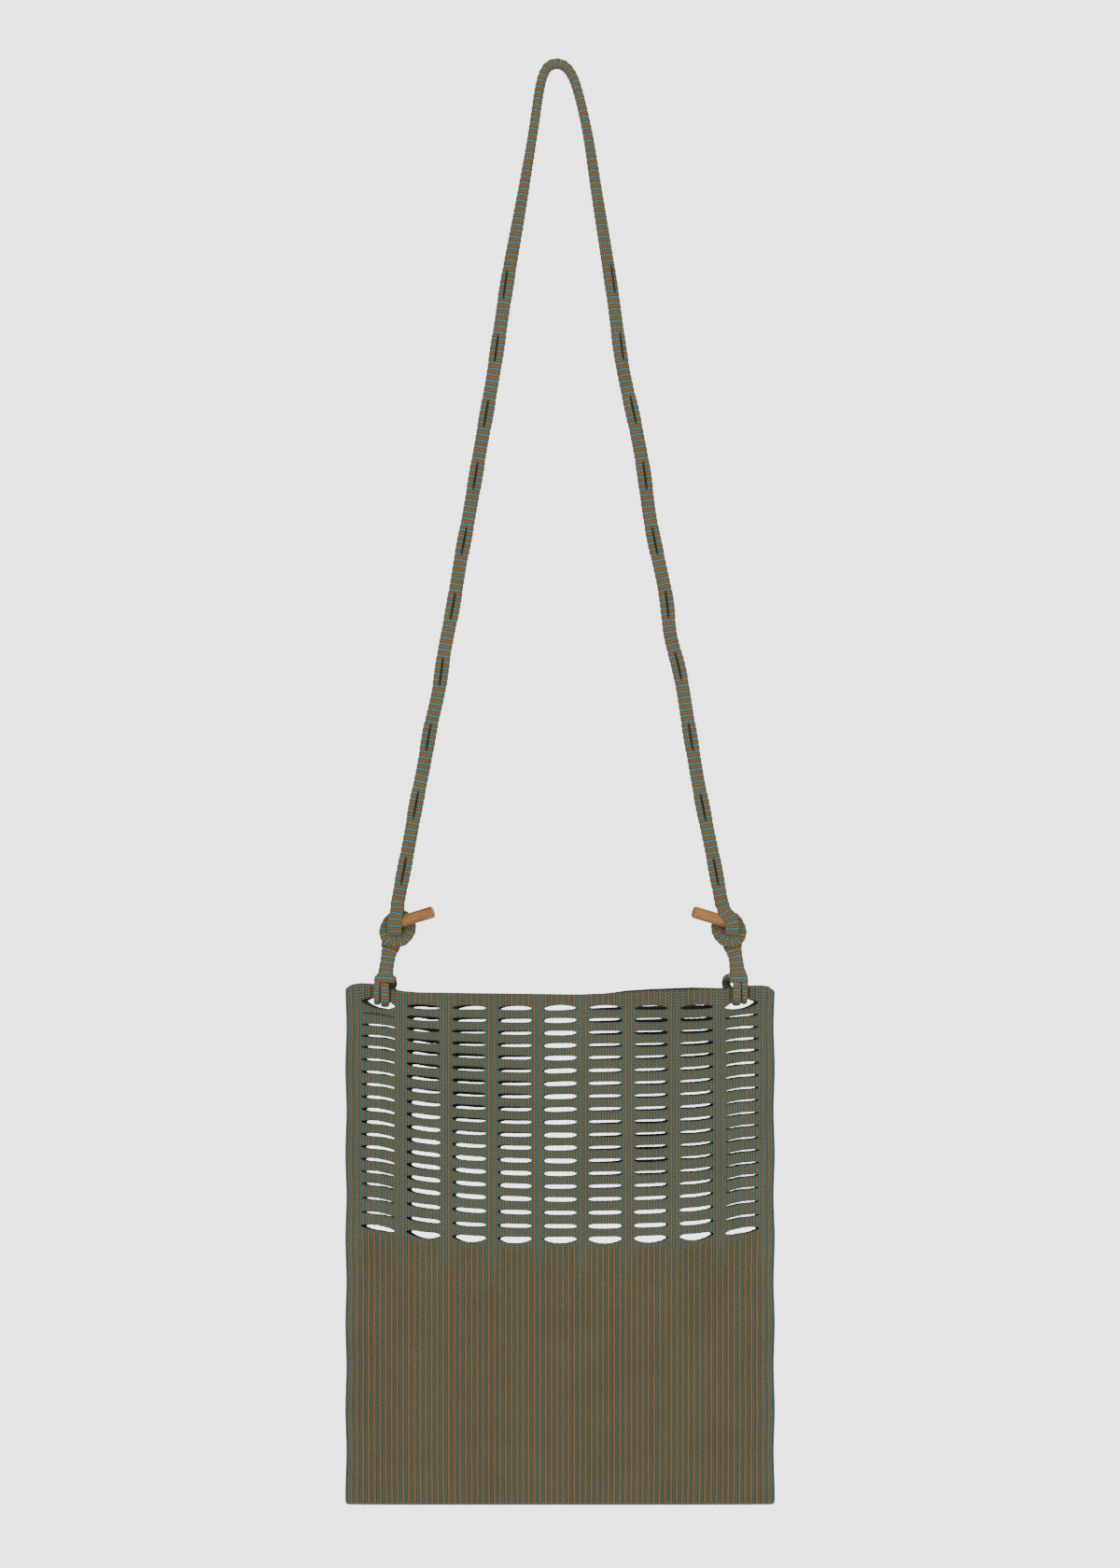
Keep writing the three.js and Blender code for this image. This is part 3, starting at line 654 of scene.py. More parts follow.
@dataclass(frozen=True)
class PouchSizes:
    """The pouch as it hangs."""

    middle_x: float = 1.9
    half_width: float = 140.6  # to the middle of the cloth at the side folds
    half_depth: float = 8.0
    foot_half_depth: float = 0.95
    fold_power: float = 4.0
    ribs: int = 75
    rib_height: float = 0.95
    inner_rib_height: float = 0.15
    cloth: float = 1.7
    foot_z: float = -954.0
    foot_taper: float = 30.0
    columns: int = 9
    column_ribs: int = 8
    slit_ribs: int = 6
    rows: int = 19
    # Half height of the slits by column, at the rows of the stages
    stages: tuple[float, ...] = (0.0, 2.0, 5.5, 9.0, 12.0, 15.0, 17.0, 18.0)
    half_heights: tuple[tuple[float, ...], ...] = (
        (3.0, 1.4, 1.45, 1.5, 1.7, 1.65, 1.5, 1.45, 2.7),
        (0.75, 1.2, 1.15, 1.25, 1.5, 1.25, 1.25, 1.15, 1.0),
        (0.85, 1.2, 1.5, 1.4, 1.5, 1.25, 1.2, 1.05, 0.9),
        (1.1, 1.4, 1.35, 1.4, 1.55, 1.3, 1.35, 1.1, 0.75),
        (1.05, 1.5, 1.35, 1.4, 1.55, 1.35, 1.35, 1.05, 0.7),
        (0.75, 1.5, 1.5, 1.5, 1.45, 1.3, 1.3, 1.15, 0.7),
        (0.65, 1.35, 1.15, 1.3, 1.35, 1.4, 1.4, 1.3, 0.75),
        (1.6, 2.25, 2.25, 2.25, 2.25, 2.25, 2.3, 2.2, 1.9),
    )
    slit_jitter: float = 0.05  # spread of the half heights, as a share
    scallop: float = 0.08  # how far rib ends bulge into a slit
    # Heights of the edges that aren't lens-shaped, as shares of the slit's half height: the rounded
    # and the flat edges of the top and bottom rows, and the corner slits' rounded lower edge
    dome_height: float = 1.15
    flat_height: float = 0.85
    corner_dome_height: float = 1.2
    # The cloth thins to its edge at a slit that is at least this open, over this distance
    open_from: float = 0.5
    rim_reach: float = 1.3
    rim_thinning: float = 0.62
    # Painted shade on the panel's inner faces, which also darkens the rims round the slits towards the
    # inside
    inside_shade: float = 0.6
    # Stretch of the cloth, 0 to 1: the strips between slits, the band above them, the cloth just
    # below them, the side folds and the bars between the columns
    strip_stretch: float = 0.9
    band_stretch: float = 0.35
    below_stretch: float = 0.8
    below_reach: float = 6.0
    margin_stretch: float = 0.6
    margin_places: tuple[float, float] = (34.5, 37.0)
    bar_stretch: float = 0.7
    bar_reach: float = 25.0
    foot_edge: float = 1.2  # height of the stretched edge at the foot
    # The hitches draw the tube in, more so towards its top
    pinched_half_depth: float = 1.7
    pinched_share: float = 0.72  # how much of the depth the section has at the hitches
    pinch_reach: float = 22.0
    pinch_heights: tuple[float, float] = (-684.0, -634.0)
    hitches: tuple[float, float] = (-116.4, 121.2)
    # Slow waves of the depth across the lower cloth, and of the side folds down it
    depth_wave: float = 0.05
    depth_wave_reach: float = 23.0
    depth_wave_start: float = 0.6
    depth_wave_heights: tuple[float, float] = (-640.0, -700.0)
    side_wave: float = 0.35
    side_wave_reach: float = 9.0
    # Top and bottom rows of slits, by column from the left
    top_rows: tuple[float, ...] = (-620.9, -623.7, -624.0, -624.3, -624.3, -624.3, -624.3, -624.0, -621.9)
    bottom_rows: tuple[float, ...] = (-770.0, -774.8, -777.2, -777.9, -778.1, -778.1, -777.5, -776.0, -771.7)
    # The top edge's height by place across in ribs: lifted at the hitches, low between them
    edge_places: tuple[float, ...] = (
        -37.5, -37.0, -36.3, -34.8, -32.0, -29.0, -25.0, -16.0, -7.0,
        3.0, 10.0, 17.0, 23.0, 29.0, 33.5, 35.5, 36.6, 37.5,
    )
    edge_heights: tuple[float, ...] = (
        -611.0, -609.4, -608.3, -607.6, -609.0, -612.5, -613.8, -614.3, -614.7,
        -615.2, -614.3, -612.8, -612.1, -611.4, -609.4, -609.2, -609.8, -612.2,
    )
    # How far the back's slits lie nearer the middle than the front's, by column
    back_shift: tuple[float, ...] = (3.1, 2.4, 1.9, 1.4, 0.3, 0.0, 0.6, 0.9, 1.8)
    # The same at the top row, from which it changes over some rows
    back_shift_top: tuple[float, ...] = (4.4, 4.1, 3.1, 1.5, 0.4, 0.4, 1.6, 2.6, 3.2)
    back_shift_heights: tuple[float, float] = (-690.0, -625.0)
    back_shift_end: tuple[float, float] = (-800.0, -785.0)
    back_shift_margin: float = 2.5  # ribs from each side fold over which it sets in
    # The slits of both panels line up along lines from a point before the bag: its distance
    # and its height
    sight: float = 1600.0
    sight_z: float = -475.5
    # How far the rows lie above even spacing, as a share of the slits' field, by column
    row_ease: tuple[float, ...] = (0.023, 0.021, 0.014, 0.009, 0.006, 0.007, 0.008, 0.012, 0.016)
    ease_rows: tuple[int, int] = (4, 3)  # rows at the top and bottom over which that sets in
    # The corner slits, which the hitches run through, and the nearly closed ones below them
    corner_place: float = 28.5
    corner_half: float = 3.5
    corner_tilt: float = 1.6
    corner_tilt_rows: int = 3
    # How far the outer columns' slits rise to the side folds, and how much more at the lowest row
    side_tilt: tuple[float, float] = (0.45, 0.75)
    second_corner_heights: tuple[float, float] = (0.3, 0.8)
    # How far the back's slits sit above the front's as seen from there, by stage and column
    back_rise: tuple[tuple[float, ...], ...] = (
        (0.0, -2.1, -0.8, -0.4, 0.0, 1.6, 2.6, 2.8, 0.4),
        (0.2, -2.5, -1.4, -0.8, 0.0, 1.2, 1.7, 1.4, 0.4),
        (0.1, -1.9, -2.4, -1.5, 0.0, 0.6, 0.9, 0.7, 0.3),
        (-0.2, -0.6, -1.4, -1.1, 0.0, 1.0, 1.3, 0.7, 0.45),
        (-0.4, 0.0, -0.3, -0.3, 0.0, 0.9, 1.7, 0.6, 0.4),
        (-0.1, 0.0, 0.0, 0.0, 0.0, 0.4, 0.4, 0.2, 0.3),
        (-0.3, 0.0, -0.2, 0.0, 0.0, 0.0, 0.0, 0.0, 0.1),
        (-0.2, 0.0, -0.3, -0.4, 0.0, 0.0, 0.0, 0.0, 0.0),
    )
    # How far the back's top edge stands above the same line, by place across in ribs
    back_edge_places: tuple[float, ...] = (-37.5, -30.0, 6.0, 12.0, 24.0, 31.0, 37.5)
    back_edge_rise: tuple[float, ...] = (0.0, -0.6, -0.6, 1.2, 1.4, 0.0, 0.0)


class PouchPanel:
    """One panel of the ribbed tube, from side fold to side fold, with its slits cut through."""

    RIB_SAMPLES = (0.0, 0.2, 0.36, 0.64, 0.8)
    # Shares of the way down the band above the slits, a strip between them and the plain half
    BAND_SAMPLES = (0.0, 0.07, 0.2, 0.4, 0.6, 0.8, 0.93, 1.0)
    STRIP_SAMPLES = (0.0, 0.2, 0.5, 0.8, 1.0)
    PLAIN_SAMPLES = (0.0, 0.008, 0.02, *np.linspace(0.04, 0.975, 25), 0.99, 1.0)
    SECTION_STEPS = 6000
    COURSE = 8.5  # the knit map's length for each strip
    MAP_START = 200  # ribs from the knit map's zero to the panel's middle
    SEEDS = {Face.FRONT: 7, Face.BACK: 11}
    WELD = 1e4  # points are welded where they are the same to one over this, in millimetres

    def __init__(self, face: Face, sizes: PouchSizes) -> None:
        """Works out the places across and the tube's section.

        Args:
            face: Front or back.
            sizes: The pouch's sizes.
        """
        self.face = face
        self.sizes = sizes
        half = sizes.ribs / 2
        whole = np.arange(-half - 0.5, half + 0.5)
        places = (whole[:, None] + np.array(self.RIB_SAMPLES)[None]).ravel()
        places = places[(places > -half) & (places < half)]
        self.places = np.concatenate([[-half], places, [half]])
        self.middles = (np.arange(sizes.columns) - sizes.columns // 2) * sizes.column_ribs
        self.random = np.random.default_rng(self.SEEDS[face])
        self._section()
        self._slits()

    def _section(self) -> None:
        """Finds where each rib lies round the flattened tube.

        The section is a superellipse: x over the half width to the fourth power, plus y over the
        half depth squared, is 1. Ribs are spaced evenly along its length.
        """
        s = self.sizes
        theta = np.linspace(0, np.pi / 2, self.SECTION_STEPS)
        x = s.half_width * np.sin(theta) ** (2 / s.fold_power)
        y = s.half_depth * np.cos(theta)
        gone = np.concatenate([[0], np.cumsum(np.hypot(np.diff(x), np.diff(y)))])
        away = np.abs(self.places) / (s.ribs / 2) * gone[-1]
        self.section_x = np.sign(self.places) * np.interp(away, gone, x)
        self.section_y = np.interp(away, gone, y) / s.half_depth
        slope_x = np.gradient(np.interp(away, gone, x) * np.sign(self.places))
        slope_y = np.gradient(np.interp(away, gone, y))
        length = np.hypot(slope_x, slope_y)
        self.normal_x = -slope_y / length
        self.normal_y = slope_x / length
        self.normal_x[[0, -1]] = [-1, 1]
        self.normal_y[[0, -1]] = [0, 0]

    def _slits(self) -> None:
        """Half heights of each slit above and below its middle line, at every place across.

        The lens is the 0.55 power of one less the fifth power of the distance from its middle,
        the flat edge the same of the sixth power, and the dome one less the 2.4th power. Rib ends
        bulge a little into the slit.
        """
        s = self.sizes
        column = np.round(self.places / s.column_ribs) + s.columns // 2
        column = np.clip(column, 0, s.columns - 1).astype(int)
        from_middle = (self.places - self.middles[column]) / (s.slit_ribs / 2)
        inside = np.clip(np.abs(from_middle), 0, 1)
        lens = (1 - inside**5) ** 0.55
        flat = (1 - inside**6) ** 0.55 * s.flat_height
        dome = 1 - inside**2.4
        scallop = s.scallop * np.sin(np.pi * self.places) ** 2
        height = self.staged(np.arange(s.rows), s.half_heights)
        height *= 1 + s.slit_jitter * self.random.standard_normal(height.shape)
        height[1, [0, -1]] = s.second_corner_heights
        self.up = np.zeros((s.rows, len(self.places)))
        self.down = np.zeros_like(self.up)
        corner = np.abs(self.places) > s.corner_place
        top_row = (dome * s.dome_height, np.where(corner, dome * s.corner_dome_height, flat))
        edges = {0: top_row, s.rows - 1: (flat, dome * s.dome_height)}
        for row in range(s.rows):
            above, below = edges.get(row, (lens, lens))
            high = height[row][column]
            cut = np.minimum(scallop, high / 2) * lens
            self.up[row] = np.where(inside < 1, high * above - cut, 0)
            self.down[row] = np.where(inside < 1, high * below - cut, 0)
        self.in_column = inside < 1

    def staged(self, rows: int | np.ndarray, table: tuple[tuple[float, ...], ...]) -> np.ndarray:
        """Values given by stage and column, at any rows."""
        return np.stack([np.interp(rows, self.sizes.stages, values) for values in np.array(table).T], -1)

    def across(self, values: tuple[float, ...] | np.ndarray) -> np.ndarray:
        """Values given by column, at every place across."""
        return np.interp(self.places, self.middles, values)

    def row_height(self, row: int) -> np.ndarray:
        """The middle line of a row of slits, between its column's top and bottom rows.

        Args:
            row: The row's number, from the top.

        Returns:
            The height at each place across.
        """
        s = self.sizes
        top, bottom, last = self.across(s.top_rows), self.across(s.bottom_rows), s.rows - 1
        sets_in, ends = s.ease_rows
        bump = min(1.0, row / sets_in) * min(1.0, (last - row) / ends)
        line = top + (bottom - top) * (row / last - self.across(s.row_ease) * bump)
        past = np.abs(self.places) - s.corner_place
        corner = np.clip((past - s.corner_half) / s.corner_half, -1, 1) * (past > 0)
        side = s.side_tilt[0] + s.side_tilt[1] * row / last
        line = line + max(s.corner_tilt * (1 - row / s.corner_tilt_rows), side) * corner
        if self.face is Face.BACK:
            line = line + self.across(self.staged(row, s.back_rise))
        return self.in_sight(line)

    def in_sight(self, z: np.ndarray) -> np.ndarray:
        """Heights moved along the line of sight from the bag's middle plane to this panel.

        The move is the height below the sight point, times the panel's depth, over the distance:
        up on the front and down on the back.

        Args:
            z: Heights in the middle plane, at each place across.

        Returns:
            The heights on this panel.
        """
        s = self.sizes
        depth = self.half_depth(s.middle_x + self.section_x, z) * self.section_y
        return z + (z - s.sight_z) * self.face.value * depth / s.sight

    def top_edge(self) -> np.ndarray:
        """The top edge's height at each place across.

        Returns:
            The heights.
        """
        s = self.sizes
        edge = np.interp(self.places, s.edge_places, s.edge_heights)
        if self.face is Face.BACK:
            edge = edge + np.interp(self.places, s.back_edge_places, s.back_edge_rise)
        return self.in_sight(edge)

    def half_depth(self, x: np.ndarray, z: np.ndarray) -> np.ndarray:
        """Half depth of the tube: full between, drawn in by each hitch and down to the foot.

        A hitch draws it in by a bell curve of the distance from it. Waves are a sine across.

        Args:
            x: Places across, in millimetres.
            z: Heights.

        Returns:
            The half depths.
        """
        s = self.sizes
        foot = smooth_step(s.foot_z + s.foot_taper, s.foot_z, z)
        deep = s.half_depth * (1 - foot) + s.foot_half_depth * foot
        near = sum(np.exp(-(((x - hitch) / s.pinch_reach) ** 2)) for hitch in s.hitches)
        pinch = np.minimum(near, 1) * smooth_step(*s.pinch_heights, z)
        wave = s.depth_wave * np.sin(x / s.depth_wave_reach + s.depth_wave_start)
        deep = deep * (1 + wave * smooth_step(*s.depth_wave_heights, z))
        return deep * (1 - pinch) + (s.pinched_half_depth / s.pinched_share) * pinch

    def place(self, z: np.ndarray, outward: np.ndarray) -> np.ndarray:
        """Points of the panel for heights z at each place, pushed outward from the cloth's middle.

        Args:
            z: Heights, rows by places.
            outward: Distances from the middle of the cloth, the same shape.

        Returns:
            Points, rows by places by 3.
        """
        s = self.sizes
        x = s.middle_x + np.broadcast_to(self.section_x, z.shape)
        x = x * (1 - s.half_depth * self.section_y / s.sight)
        if self.face is Face.BACK:
            half = s.ribs / 2
            side = half - s.back_shift_margin
            ends = [-half, -side, *self.middles, side, half]
            low, top = (
                np.interp(self.places, ends, [0, table[0], *table, table[-1], 0])
                for table in (s.back_shift, s.back_shift_top)
            )
            shift = low + (top - low) * smooth_step(*s.back_shift_heights, z)
            x = x - np.sign(self.places) * shift * smooth_step(*s.back_shift_end, z)
        y = self.half_depth(x, z) * self.section_y
        at_side = np.abs(self.section_x / s.half_width) ** 8
        wave = s.side_wave * np.sin(z / s.side_wave_reach) * at_side
        x = x + self.normal_x * outward + np.sign(self.places) * wave
        y = y + self.normal_y * outward
        return np.stack([x, self.face.value * y, z], axis=-1)

    def block(self, number: int) -> dict[str, np.ndarray]:
        """One stretch of cloth between two rows of slits, or above or below them all.

        Args:
            number: 0 for the band above the slits, up to the plain half below them.

        Returns:
            The heights, thickness share, map rows, stretch and openings at both edges.
        """
        s = self.sizes
        first, last = number == 0, number == s.rows
        upper = self.top_edge() if first else self.row_height(number - 1) - self.down[number - 1]
        lower = np.full(len(self.places), s.foot_z) if last else self.row_height(number) + self.up[number]
        samples = {0: self.BAND_SAMPLES, s.rows: self.PLAIN_SAMPLES}.get(number, self.STRIP_SAMPLES)
        t = np.array(samples)[:, None]
        z = upper[None] + (lower - upper)[None] * t
        open_up = np.ones_like(upper) if first else np.clip(self.down[number - 1] / s.open_from, 0, 1)
        open_low = np.ones_like(upper) if last else np.clip(self.up[number] / s.open_from, 0, 1)
        share = np.ones_like(z)
        for opening, away in ((open_up, upper[None] - z), (open_low, z - lower[None])):
            near = 1 - np.clip(away / s.rim_reach, 0, 1)
            share *= 1 - s.rim_thinning * opening * near**2
        in_column = self.in_column[None] * np.ones_like(z)
        if last:
            v = s.rows * self.COURSE + (z[:1] - z)
            stretch = in_column * smooth_step(s.below_reach, 0, z[:1] - z) * s.below_stretch
            stretch = np.maximum(stretch, 1.0 * (z < s.foot_z + s.foot_edge))
        else:
            v = (number + t) * self.COURSE * np.ones_like(z)
            stretch = in_column * (s.band_stretch if first else s.strip_stretch)
        margin = s.margin_stretch * smooth_step(*s.margin_places, np.abs(self.places))[None]
        lowest = s.bottom_rows[s.columns // 2]
        bars = s.bar_stretch * ~self.in_column[None] * smooth_step(lowest - s.bar_reach, lowest, z)
        stretch = np.maximum(stretch, np.maximum(margin, bars))
        return {
            "z": z,
            "share": share,
            "v": v,
            "stretch": stretch,
            "open_up": open_up,
            "open_low": open_low,
        }

    def surface(self) -> Surface:
        """Makes the closed panel: blocks outside and inside, welded, with rims round every slit.

        Blocks meet along each row's middle line. At places outside the slits their edge points
        coincide and are welded; inside they stand apart, which leaves the slit open.

        Returns:
            The panel's closed surface.
        """
        s = self.sizes
        count = len(self.places)
        ribs = rib_profile(self.places)
        points, uvs, stretches, shades, faces = [], [], [], [], []
        start = 0
        for number in range(s.rows + 1):
            block = self.block(number)
            rows = len(block["z"])
            thick = block["share"]
            outer = self.place(block["z"], thick * (s.cloth / 2 + s.rib_height * ribs[None]))
            inner = self.place(block["z"], -thick * (s.cloth / 2 + s.inner_rib_height * ribs[None]))
            u = np.broadcast_to(self.places + self.MAP_START, block["v"].shape)
            size = rows * count
            points += [outer.reshape(-1, 3), inner.reshape(-1, 3)]
            uvs += [np.stack([u, block["v"]], -1).reshape(-1, 2)] * 2
            stretches += [block["stretch"].ravel()] * 2
            # The inner faces carry painted shade, the outer ones none
            shades += [np.zeros(size), np.full(size, s.inside_shade)]
            index = np.arange(size).reshape(rows, count)
            corners = (index[:-1, :-1], index[1:, :-1], index[1:, 1:], index[:-1, 1:])
            grid = np.stack(corners, -1).reshape(-1, 4)
            faces += [start + grid, start + size + grid[:, ::-1]]
            side = np.ones(rows)
            for line, opening, flip in (
                (index[0], block["open_up"], False),
                (index[-1], block["open_low"], True),
                (index[:, 0], side, True),
                (index[:, -1], side, False),
            ):
                gap = (opening[:-1] > 0) | (opening[1:] > 0)
                left, right = line[:-1][gap], line[1:][gap]
                rim = np.stack([left, right, right + size, left + size], -1)
                faces.append(start + (rim[:, ::-1] if flip else rim))
            start += 2 * size
        return self.welded(*map(np.concatenate, (points, faces, uvs, stretches, shades)))

    def welded(
        self,
        points: np.ndarray,
        quads: np.ndarray,
        uv: np.ndarray,
        stretch: np.ndarray,
        shade: np.ndarray,
    ) -> Surface:
        """Joins points that coincide to a ten-thousandth of a millimetre.

        Args:
            points: All blocks' points.
            quads: Faces on them.
            uv: The knit map per point.
            stretch: The stretch per point.
            shade: How deep in painted shade each point lies.

        Returns:
            The welded surface, facing out.
        """
        keys = np.round(points * self.WELD).astype(np.int64)
        _, first, inverse = np.unique(keys, axis=0, return_index=True, return_inverse=True)
        surface = Surface(points[first], inverse.ravel()[quads], uv[quads])
        surface.stretch = stretch[first]
        surface.hollow = shade[first]
        return facing_out(surface)

    def build(self, material: bpy.types.Material) -> bpy.types.Object:
        """Args:
            material: The pouch's knit.

        Returns:
            The panel's object.
        """
        name = f"pouch_{self.face.name.lower()}"
        made = self.surface().to_object(name)
        made.data.materials.append(material)
        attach(made, BODY)
        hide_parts("pouch")
        return made


# The strap


@dataclass(frozen=True)
class StrapSizes:
    """The shoulder strap."""

    half_width: float = 4.65
    slot_swell: float = 0.3
    half_thickness: float = 3.3
    rib_pitch: float = 4.03
    samples_per_rib: int = 6
    slot_length: float = 19.0
    slot_depth: float = 1.6
    slot_half_width: float = 0.55
    # Middle line from the left knot over the bend to the right knot: x, z and the face's turn
    route: tuple[tuple[float, float, float], ...] = (
        (-106.4, -557.0, 0.0), (-102.8, -537.9, 0.0), (-98.0, -513.0, 0.0), (-93.6, -488.2, 0.0),
        (-88.6, -463.4, 0.0), (-84.3, -438.6, 0.0), (-78.8, -413.9, 0.0), (-75.2, -389.1, 0.0),
        (-68.9, -356.0, 0.0), (-64.2, -327.1, 0.0), (-59.5, -302.2, 0.0), (-51.0, -252.7, 0.03),
        (-42.4, -203.1, 0.08), (-33.0, -141.1, 0.25), (-24.2, -91.5, 0.6), (-15.9, -41.9, 0.95),
        (-11.4, -12.5, 1.0), (-9.0, -4.0, 1.0), (-5.9, 0.9, 1.0), (-1.6, 2.8, 1.0), (2.6, 2.4, 1.0),
        (6.2, 0.2, 1.0), (9.8, -4.8, 1.0), (13.0, -13.0, 1.0), (19.9, -41.9, 0.85), (25.7, -79.0, 0.65),
        (33.5, -128.7, 0.48), (37.2, -153.4, 0.42), (43.4, -198.0, 0.3), (52.4, -240.2, 0.15),
        (57.0, -265.1, 0.1), (62.2, -302.2, 0.05), (72.4, -351.9, 0.0), (75.2, -376.6, 0.0),
        (81.4, -401.4, 0.0), (87.6, -438.6, 0.0), (93.9, -475.9, 0.0), (98.7, -500.6, 0.0),
        (103.8, -525.5, 0.0), (109.6, -557.0, 0.0),
    )
    # Heights of the buttonholes' middles on each leg
    left_slots: tuple[float, ...] = (
        -144.5, -186.6, -230.0, -271.0, -314.3, -357.7, -401.1, -444.5, -489.2, -533.2
    )
    right_slots: tuple[float, ...] = (
        -140.7, -185.4, -227.5, -271.0, -314.3, -356.5, -397.4, -444.5, -491.0, -533.8
    )


class Strap:
    """The narrow knitted strap with its row of buttonholes."""

    def __init__(self, sizes: StrapSizes) -> None:
        """Keeps the sizes."""
        self.sizes = sizes

    def slots(self, path: np.ndarray) -> np.ndarray:
        """Share of an open buttonhole at each station, 1 in its middle and 0 between.

        The share is the root of one less the fourth power of the distance from its middle.

        Args:
            path: The stations' places.

        Returns:
            The share at each station.
        """
        s = self.sizes
        left = np.arange(len(path)) < np.argmax(path[:, 2])
        share = np.zeros(len(path))
        for heights, leg in ((s.left_slots, left), (s.right_slots, ~left)):
            away = np.abs(path[:, 2, None] - np.array(heights)) / (s.slot_length / 2)
            on_leg = (np.clip(1 - away**4, 0, 1) ** 0.5).max(axis=1)
            share = np.where(leg, on_leg, share)
        return share

    def band(self) -> tuple[KnitBand, np.ndarray]:
        """The band and how deep the closed buttonholes sink into its two faces.

        Returns:
            The band, and the sink per station and side.
        """
        s = self.sizes
        route = np.array(s.route)
        rows = np.stack([route[:, 0], np.zeros(len(route)), route[:, 1], route[:, 2]], axis=1)
        length = float(np.linalg.norm(np.diff(rows[:, :3], axis=0), axis=1).sum())
        line = along_curve(rows, int(length / s.rib_pitch * s.samples_per_rib), False)
        path, turn = line[:, :3], np.clip(line[:, 3], 0, 1)
        along = np.gradient(path, axis=0)
        along /= np.linalg.norm(along, axis=1)[:, None]
        angle = turn * np.pi / 2
        wide = np.stack([along[:, 2], 0 * angle, -along[:, 0]], -1) * np.cos(angle)[:, None]
        wide[:, 1] -= np.sin(angle)
        slots = self.slots(path)
        band = KnitBand(
            path=path,
            wide=wide,
            half_width=s.half_width + s.slot_swell * slots,
            half_thickness=np.full(len(path), s.half_thickness),
            closed=False,
            rib_pitch=s.rib_pitch,
            quarter=SLOT_QUARTER_TURN,
        )
        # The sink is also painted as shade down each buttonhole's middle
        turns = section_angles(SLOT_QUARTER_TURN)
        across = np.abs(np.cos(turns)) ** OVAL_POWER * s.half_width
        seam = np.exp(-((across / s.slot_half_width) ** 2))
        return band, s.slot_depth * slots[:, None] * seam[None]

    def build(self, material: bpy.types.Material) -> bpy.types.Object:
        """Makes the strap's object.

        Args:
            material: The strap's knit.

        Returns:
            The strap's object.
        """
        band, sink = self.band()
        made = band.surface(sink).to_object("strap_band")
        made.data.materials.append(material)
        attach(made, BODY)
        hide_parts("shoulder_strap")
        return made


# The knots


@dataclass(frozen=True)
class StrandSizes:
    """One of the two strands of a hitch, its places given outward of the strap end's middle."""

    place: float
    half_width: float
    foot: float
    lobe: float  # where it bulges over the pouch's edge


@dataclass(frozen=True)
class KnotSizes:
    """One knot, its parts given as distances outward of the strap end's middle."""

    side: Side
    knot_x: float
    strap_offset: float
    ring_width: float
    # Height, middle and half width of the leader's neck, from the ring down to the pouch
    neck: tuple[tuple[float, float, float], ...]
    outer: StrandSizes
    inner: StrandSizes
    limb: float = 1.15
    loop_half_width: float = 4.4
    loop_swell: float = 0.3
    loop_narrowing: float = 1.4
    rib_pitch: float = 3.9
    ring_pitch: float = 3.6
    ring_half_width: float = 2.3
    ring_foot_swell: float = 2.4
    ring_half_thickness: float = 2.0
    neck_half_thickness: float = 2.2
    neck_flattening: float = 0.7
    neck_inset: float = 4.0  # how far inside the neck's sides the strands start
    lobe_half: float = 3.0
    strand_half_thickness: float = 1.6
    # How deep the leader lies in shade: under the ring, over the hitch, in the slit and behind
    ring_shade: float = 0.45
    hitch_shade: float = 0.7
    slit_shade: float = 0.5
    back_shade: float = 0.4
    peg_radius: float = 4.0
    peg_edge: float = 0.9  # length of the rounding at its ends
    peg_edge_drop: float = 0.14  # and its share of the radius
    peg_waver: float = 0.012
    peg_waver_reach: float = 3.1
    peg_length: float = 30.1
    peg_start: float = 2.4
    peg_rise: float = 0.305
    peg_lean: float = 0.26
    peg_middle: tuple[float, float] = (-1.4, -568.0)


